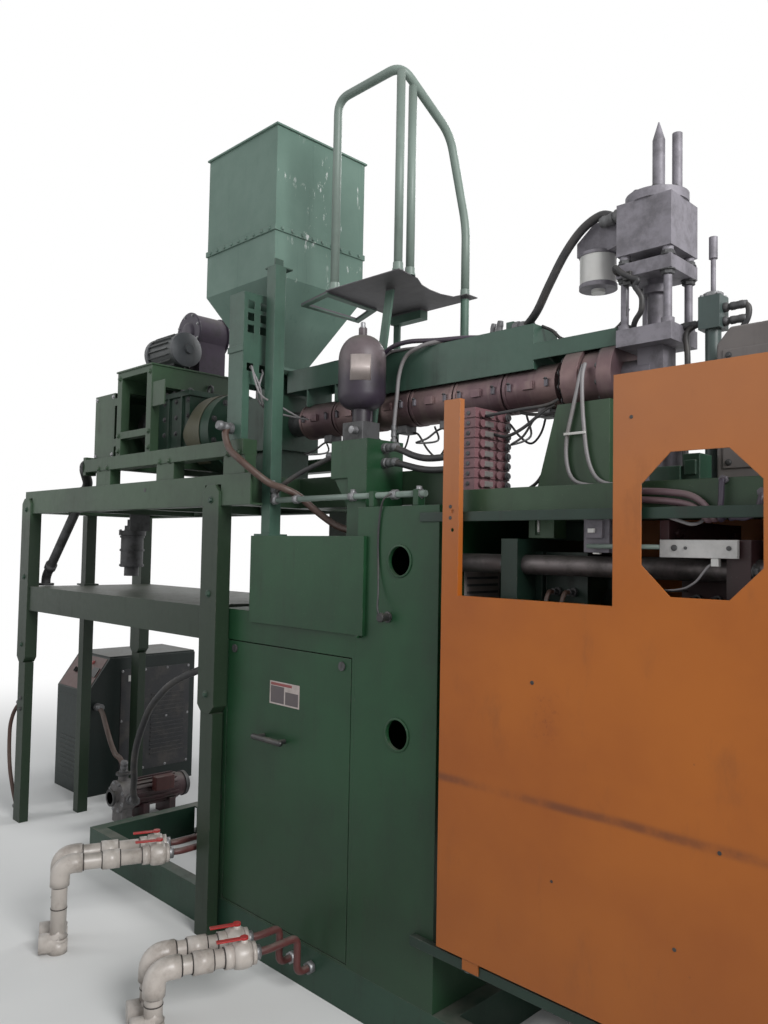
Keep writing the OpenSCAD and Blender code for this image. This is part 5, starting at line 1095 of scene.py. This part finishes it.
def make_moulds():
    """Screws, nipples and hoses of both moulds, the bar before the right one, the left column's plate."""
    grid = grid_of(80, 560, 2, 900, 1560, 4)
    for name, x, way in (("left", 580, -1), ("right", 1330, 1)):
        hex_bolts("platen_screws_" + name, on_plane(grid, 0, x), (way, 0, 0), 14, 12, "dark_iron",
            "platen_" + name)
    front = 180
    for name, x0, x1 in (("left", 665, 810), ("right", 1100, 1245)):
        body = "platen_" + name
        places = on_plane(grid_of(x0 + 15, x1 - 15, 2, 1120, 1570, 3), 1, front)
        hex_bolts("mould_screws_" + name, places, FRONT, 10, 8, "dark_iron", body)
        rows = np.linspace(1190, 1480, 4)
        nipples = []
        hoses = []
        for x in (x0 + 45, x1 - 45):
            for z in rows:
                nipples.append(((x, front, z), FRONT, [(0, 13), (10, 13), (11, 8), (30, 8), (31, 10),
                    (34, 10)]))
            for z0, z1 in (rows[:2], rows[2:]):
                y = front - 30
                route = [(x, y, z0), (x, y - 26, z0 + 4), (x, y - 44, (z0 + z1) / 2), (x, y - 26, z1 - 4),
                    (x, y, z1)]
                hoses.append((curve_through(route, 8), 7))
        turned("mould_nipples_" + name, nipples, "dark_iron", body, 16)
        add_tubes("mould_hoses_" + name, hoses, "rubber_brown", body, 12)
    plate = [([380.2, 128, 1428], [383, 320, 1578])]
    add_plates("column_plate", plate, "sticker", bevel=0.8)
    fields = [([383, 140, z], [383.8, 308, z + 8]) for z in (1552, 1528, 1504, 1480, 1456)]
    add_plates("column_plate_fields", fields, "dull_sheet", bevel=0)
    add_plates("front_bar", [([1106, 36, 1591], [1306, 49.6, 1637])], "pale_sheet", "platen_right", 1)
    marks = [((x, 36, 1616), FRONT, [(0, r), (3, r), (4, 0.6 * r)])
        for x, r in ((1146, 8), (1176, 4), (1286, 6))]
    turned("front_bar_screws", marks, "dark_iron", "platen_right", 16)
    add_tubes("front_bar_rod", [([[890, 42, 1618], [1106, 42, 1618]], 6.5)], "rail_grey", "platen_right",
        16)
    valve = [([1240, 38, 1571], [1259, 54, 1591]), ([1243, 42, 1591], [1252, 50, 1592])]
    add_plates("bar_fitting", valve, "pale_plastic", "platen_right", 2)
    air = [[1241, 46, 1577], [1232, 40, 1570], [1222, 37, 1556], [1203, 36, 1532], [1177, 36, 1515],
        [1150, 36, 1508], [1129, 38, 1506], [1108, 60, 1504], [1102, 110, 1502], [1112, 182, 1500]]
    add_cables("air_tube", [air], 3, "cable_grey", "platen_right", 10)


def make_beam_lines():
    """Hoses and a small valve block on the front of the head's table, seen through the guard's openings."""
    mauve = [[[1010, 41, 1745], [1010, 27, 1745], [1022, 22, 1745], [1060, 22, 1742], [1113, 22, 1738],
        [1166, 22, 1731], [1205, 22, 1719], [1226, 24, 1700], [1234, 34, 1688], [1236, 52, 1694],
        [1236, 70, 1712]], [[1004, 41, 1766], [1004, 27, 1766], [1020, 22, 1766], [1070, 22, 1764],
        [1130, 22, 1760], [1190, 22, 1750], [1224, 22, 1730], [1244, 24, 1704], [1250, 34, 1690],
        [1252, 54, 1696], [1252, 70, 1712]]]
    add_cables("mauve_lines", mauve, 9, "hose_mauve", sides=16)
    pale = [[[1030, 41, 1722], [1030, 28, 1722], [1044, 22, 1716], [1090, 20, 1706], [1130, 20, 1697],
        [1172, 20, 1683], [1200, 24, 1676], [1216, 46, 1686], [1218, 70, 1712]]]
    add_cables("pale_line", pale, 4.5, "cable_grey")
    purple = [[[1290, 70, 1712], [1290, 52, 1696], [1294, 30, 1690], [1306, 22, 1692], [1329, 20, 1690],
        [1350, 20, 1698], [1362, 20, 1716], [1366, 24, 1738], [1366, 41, 1752]],
        [[1274, 41, 1786], [1274, 28, 1786], [1274, 21, 1776], [1273, 20, 1735], [1268, 22, 1702],
        [1266, 36, 1688], [1266, 54, 1694], [1266, 70, 1712]]]
    add_cables("purple_lines", purple, 7, "hose_purple", sides=14)
    nuts = []
    for lines, radius in ((mauve, 9), (pale, 4.5), (purple, 7)):
        for line in lines:
            for end in (line[0], line[-1]):
                if end[1] == 41:
                    nuts.append(([[end[0], 40.2, end[2]], [end[0], 26, end[2]]], radius * 1.6))
    add_tubes("line_nuts", nuts, "head_dark", sides=6)
    block = [([872, 52, 1600], [952, 76, 1711]), ([884, 40, 1640], [936, 52, 1690])]
    add_plates("rod_block", block, "head_dark", bevel=2)
    white = [([905, 45, 1596], [925, 60, 1600]), ([896, 32, 1655], [916, 40, 1667])]
    add_plates("rod_block_fittings", white, "pale_plastic")
    valves = [([1128, 120, TABLE_TOP], [1176, 196, 1868]), ([1136, 112, 1810], [1168, 120, 1850]),
        ([1040, 108, TABLE_TOP], [1128, 176, 1836])]
    add_plates("table_valves", valves, "green_dark", bevel=2)
    gauge = [([[677, 117.5, 1659], [677, 117.5, 1695]], 4.5)]
    add_tubes("level_glass", gauge, "pale_plastic", sides=12)


def make_rear_guard():
    """Fixed rear sheets between the columns, with bolts and a pull: an orange one, and a dark green one that
    is painted shade, darkening the view through the guard's left window.
    """
    near, far = REAR_SHEET
    # painted shade: a dark sheet behind the left window, standing in for the shade seen through it
    sheets = [([352, near, 400], [704, far, 1780])]
    add_plates("rear_shade_panel", sheets, "green_dark", bevel=0.8)
    orange = [([708, near, 400], [1558, far, 1780])]
    folds = [([708, far, 400], [711, 626, 1780]), ([1555, far, 400], [1558, 626, 1780]),
        ([711, far, 400], [1555, 626, 403]), ([711, far, 1777], [1555, 626, 1780])]
    add_plates("rear_guard", orange + folds, "guard_orange", bevel=0.8)
    strips = [([352, near - 3.2, 400], [378, near, 1700]), ([1532, near - 3.2, 400], [1558, near, 1700]),
        ([384, near - 3.2, 1720], [1526, near, 1780])]
    add_plates("rear_strips", strips, "green_dark", bevel=0.5)
    bolts = [(x, far, z) for x in (365, 1545) for z in (460, 880, 1300, 1660)]
    bolts += [(x, far, 1752) for x in (450, 620, 780, 1000, 1220, 1440)]
    hex_bolts("rear_bolts", bolts, REAR, 10, 8)
    pull = bent_route([[790, 606, 1020], [790, 646, 1020], [790, 646, 1180], [790, 606, 1180]], 12)
    add_tubes("rear_pull", [(pull, 7)], "black_plastic", sides=14)


def make_table_box():
    """Grey sheet box with chamfered top edges that stands on the table behind the guard."""
    outline = on_plane([[1186, TABLE_TOP], [1186, 2168], [1222, 2212], [1456, 2212], [1492, 2168],
        [1492, TABLE_TOP]], 1, 200)
    add_bevel(add_slab("table_box", outline, (0, 240, 0), "box_grey"), 6, 3)
    lid = [([1204, 196.8, 1830], [1474, 200, 2150])]
    add_plates("table_box_cover", lid, "box_grey")
    hex_bolts("table_box_screws", on_plane(grid_of(1220, 1458, 2, 1846, 2134, 3), 1, 196.8), FRONT, 6, 4)


def make_stack_dressing():
    """Ribs, plugs and ports on the column of valves."""
    low, high = rest_on("valve_stack")
    rows = 8
    pitch = (high[2] - low[2] - 12) / rows
    ribs = []
    ports = []
    front = []
    for n in range(rows):
        z = low[2] + 12 + n * pitch
        mid = z + pitch / 2 - 2.5
        ribs.append(((440, 140, z + 4), (451.5, 186, z + pitch - 9)))
        ports.append(((449.5, 262, mid), RIGHT, [(0, 13.5), (4, 13.5), (5, 9.5), (10, 9.5)]))
        front.append(((412, 100, mid), FRONT, [(0, 7), (3, 7), (4, 4)]))
    add_plates("stack_ribs", ribs, "box_grey", bevel=3)
    turned("stack_plugs", ports, "dark_iron", sides=16)
    turned("stack_ports", front, "dark_iron", sides=16)


def make_unit_dressing():
    """Louvres, seams, side panel with vents and screws, lamps and meter of the small cooling unit."""
    low, high = rest_on("power_unit")
    front_y = low[1]
    louvres = [((low[0] + 60, front_y - 4, z), (high[0] - 60, front_y + 1, z + 12))
        for z in 120 + 30 * np.arange(8)]
    add_plates("unit_louvres", louvres, "unit_green", bevel=1.5)
    frame_line = [((low[0] + 20, front_y - 2, 80), (high[0] - 20, front_y - 0.2, 92)),
        ((low[0] + 20, front_y - 2, 600), (high[0] - 20, front_y - 0.2, 612))]
    add_plates("unit_front_seams", frame_line, "unit_green", bevel=0.5)
    right = high[0]
    side = [((right - 0.2, 640, 110), (right + 3, 1150, 780)),
        ((right + 3, 690, 700), (right + 5, 790, 740))]
    add_plates("unit_side_panel", side[:1], "unit_black")
    add_plates("unit_side_plate", side[1:], "pale_plastic", bevel=0.5)
    vents = [((right + 3, 860, z), (right + 8, 1110, z + 10)) for z in np.arange(200, 620, 28)]
    add_plates("unit_side_vents", vents, "unit_black")
    hex_bolts("unit_screws", on_plane(grid_of(650, 1140, 4, 122, 768, 3), 0, right + 3), RIGHT, 6, 4,
        "steel")
    a = np.array([0, 420, 655])
    b = np.array([0, 560, 858])
    slope = unit(b - a)
    out = np.array([0, -slope[2], slope[1]])
    across = np.array([1, 0, 0])
    lamps = []
    for n in range(3):
        lamps.append((a + (b - a) * 0.80 + (low[0] + 110 + 85 * n) * across, out,
            [(0, 14), (6, 14), (8, 10), (12, 9), (14, 5)]))
    turned("unit_lamps", lamps, "lever_red", sides=24)
    middle = a + (b - a) * 0.55 + (low[0] + 330) * across
    meter = [middle + s * across + t * slope for s, t in ((0, -32), (80, -32), (80, 32), (0, 32))]
    add_slab("unit_meter", meter, 8 * out, "black_plastic")
    sides = (low[0] + 20, high[0] - 20)
    panel = [a + (b - a) * share + x * across
        for x, share in zip((*sides, *sides[::-1]), (0.03, 0.03, 0.97, 0.97))]
    add_slab("unit_panel", panel, 2.5 * out, "panel_brown")


def make_pump_dressing():
    """Bolts, flanges, drain plug and terminal box of the water pump, and the hanging pump's rings."""
    hex_bolts("pump_cover_bolts", ring_of((PUMP_X, 340, PUMP_Z), 78, 8, 22, 1), FRONT, 9, 8, "steel")
    rings = [((PUMP_X, 300, PUMP_Z), REAR, [(0, 48), (12, 48), (14, 44), (14, 36)]),
        ((PUMP_X, 380, 280), DOWN, [(0, 42), (12, 42), (14, 38), (14, 30)]),
        ((PUMP_X, 760, PUMP_Z), REAR, [(-2, 74), (20, 72), (30, 60), (30, 20)])]
    turned("pump_rims", rings, "dark_iron", sides=40)
    add_plates("pump_terminal_box", [([-2255, 520, 170], [-2205, 640, 250])], "maroon", bevel=4)
    hanging = [((-2225, 330, z), UP, [(0, r), (0, r + 6), (12, r + 6), (12, r), (0, r)])
        for z, r in ((1474, 62), (1560, 62), (1636, 62), (1690, 30))]
    turned("hanging_pump_rims", hanging, "dark_iron", sides=40)
    hex_bolts("hanging_pump_bolts", ring_of((-2225, 330, 1676), 66, 6, 10, 2), UP, 7, 7, "steel")


def make_bottle_dressing():
    """Domed gas bottle on its neck block, with a bare label, fittings and a gland."""
    round_foot = [(2120 + 55 * (1 - np.cos(t)), 35 + 55 * np.sin(t))
        for t in np.linspace(0, np.pi / 2, 8)]
    dome = [(2305 + 95 * np.sin(t), 16 + 74 * np.cos(t)) for t in np.linspace(0, np.pi / 2, 12)]
    shell = [(2070, 34), (2119, 34)] + round_foot + dome + [(2430, 16)]
    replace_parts(turned("bottle_shell", [((*BOTTLE, 0), UP, shell)], "bottle_paint", sides=48),
        "bladder_bottle")
    block = add_plates("bottle_block", [([-177, 77, 2000], [-67, 167, 2070])], "dark_iron", bevel=3)
    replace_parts(block, "bladder_bottle")
    radius = 90.4
    turn = np.radians(np.linspace(-73, -23, 16))
    z = np.array([2216, 2312])
    x = BOTTLE[0] + radius * np.cos(turn)
    y = BOTTLE[1] + radius * np.sin(turn)
    vertices = np.vstack([np.column_stack([x, y, np.full(16, h)]) for h in z])
    faces = [[k, k + 1, k + 17, k + 16] for k in range(15)]
    label = add_piece("bottle_label", vertices, faces, "sticker")
    wall = label.modifiers.new("thick", "SOLIDIFY")
    wall.thickness = 0.0006
    wall.offset = 1.0
    bits = [((*BOTTLE, 2429), UP, [(0, 12), (6, 12), (8, 9), (22, 9), (24, 7)]),
        ((-102, 77, 2036), FRONT, [(-2, 14), (25, 14), (26, 11)])]
    turned("bottle_fittings", bits, "steel")
    hex_bolts("bottle_block_screws", [[-165, 77, 1876], [-79, 77, 1876], [-165, 77, 1915],
        [-79, 77, 1915]], FRONT, 7, 6, "steel")


def make_hopper_dressing():
    """Rivets along the seam of the hopper."""
    low, high = rest_on("hopper")
    seam = 2936
    count = 9
    xs = np.linspace(low[0] + 40, high[0] - 40, count)
    front = np.column_stack([xs, np.full(count, low[1] + 2), np.full(count, seam)])
    right = np.column_stack([np.full(count, high[0] - 2), np.linspace(low[1] + 40, high[1] - 40, count),
        np.full(count, seam)])
    hex_bolts("hopper_front_rivets", front, FRONT, 6, 4, "hopper_green")
    hex_bolts("hopper_side_rivets", right, RIGHT, 6, 4, "hopper_green")


make_barrel_dressing()
make_cables()
make_head_dressing()
make_guard_dressing()
make_moulds()
make_beam_lines()
make_rear_guard()
make_table_box()
make_stack_dressing()
make_unit_dressing()
make_pump_dressing()
make_bottle_dressing()
make_hopper_dressing()


# Metres from the middle of the floor at which it starts to fade for the eye and is white
FADE = (3.5, 8.0)


def make_floor():
    """Pale floor that fades to white for the eye away from the machine."""
    mesh = bpy.data.meshes.new("floor")
    mesh.from_pydata([(-14, -12, 0), (14, -12, 0), (14, 14, 0), (-14, 14, 0)], [], [(0, 1, 2, 3)])
    floor = bpy.data.objects.new("floor", mesh)
    bpy.context.scene.collection.objects.link(floor)
    stone = Finish("floor_pale", Roughness=0.8)
    stone.shader.inputs["Base Color"].default_value = (0.66, 0.66, 0.65, 1.0)
    reach = stone.node("ShaderNodeVectorMath", {"operation": "LENGTH"}, {0: stone.place}, out="Value")
    seen = stone.node("ShaderNodeLightPath", out="Is Camera Ray")
    glow = stone.node("ShaderNodeEmission", None, {"Color": (1.0, 1.0, 1.0), "Strength": 1.0})
    plain = Value(stone, stone.shader.outputs[0])
    fade = stone.node("ShaderNodeMixShader", None, {0: stone.ramp(reach, *FADE) * seen, 1: plain,
        2: glow})
    stone.feed(stone.output.inputs[0], fade)
    mesh.materials.append(stone.material)


def make_world():
    """Soft bluish light on the machine, and plain white for the eye, for mirrors and through glass."""
    world = bpy.data.worlds.new("studio")
    bpy.context.scene.world = world
    world.use_nodes = True
    nodes = world.node_tree.nodes
    nodes.clear()
    out = nodes.new("ShaderNodeOutputWorld")
    light = nodes.new("ShaderNodeBackground")
    light.inputs[0].default_value = (0.94, 0.97, 1.0, 1.0)
    light.inputs[1].default_value = 0.50
    white = nodes.new("ShaderNodeBackground")
    white.inputs[0].default_value = (1.0, 1.0, 1.0, 1.0)
    rays = nodes.new("ShaderNodeLightPath").outputs
    direct = nodes.new("ShaderNodeMath")
    direct.operation = "MAXIMUM"
    seen = nodes.new("ShaderNodeMath")
    seen.operation = "MAXIMUM"
    choose = nodes.new("ShaderNodeMixShader")
    for source, target in ((rays["Is Camera Ray"], direct.inputs[0]),
            (rays["Is Transmission Ray"], direct.inputs[1]), (direct.outputs[0], seen.inputs[0]),
            (rays["Is Glossy Ray"], seen.inputs[1]), (seen.outputs[0], choose.inputs[0]),
            (light.outputs[0], choose.inputs[1]), (white.outputs[0], choose.inputs[2]),
            (choose.outputs[0], out.inputs[0])):
        world.node_tree.links.new(source, target)


def add_lamp(name, place, target, size, power):
    """A square soft lamp that points at the target."""
    lamp = bpy.data.lights.new(name, "AREA")
    lamp.size = size
    lamp.energy = power
    holder = bpy.data.objects.new(name, lamp)
    bpy.context.scene.collection.objects.link(holder)
    holder.location = place
    holder.rotation_euler = (Vector(target) - Vector(place)).to_track_quat("-Z", "Y").to_euler()


make_floor()
make_world()
add_lamp("key", (6.9, -1.6, 5.1), (-0.4, 0.0, 1.6), 3.2, 570.0)
add_lamp("left_fill", (-5.0, -5.5, 4.2), (-1.0, 0.0, 1.4), 3.0, 65.0)
add_lamp("rear", (-1.0, 5.5, 5.5), (-0.5, 0.3, 2.0), 3.0, 170.0)
bpy.context.scene.view_settings.view_transform = "Standard"
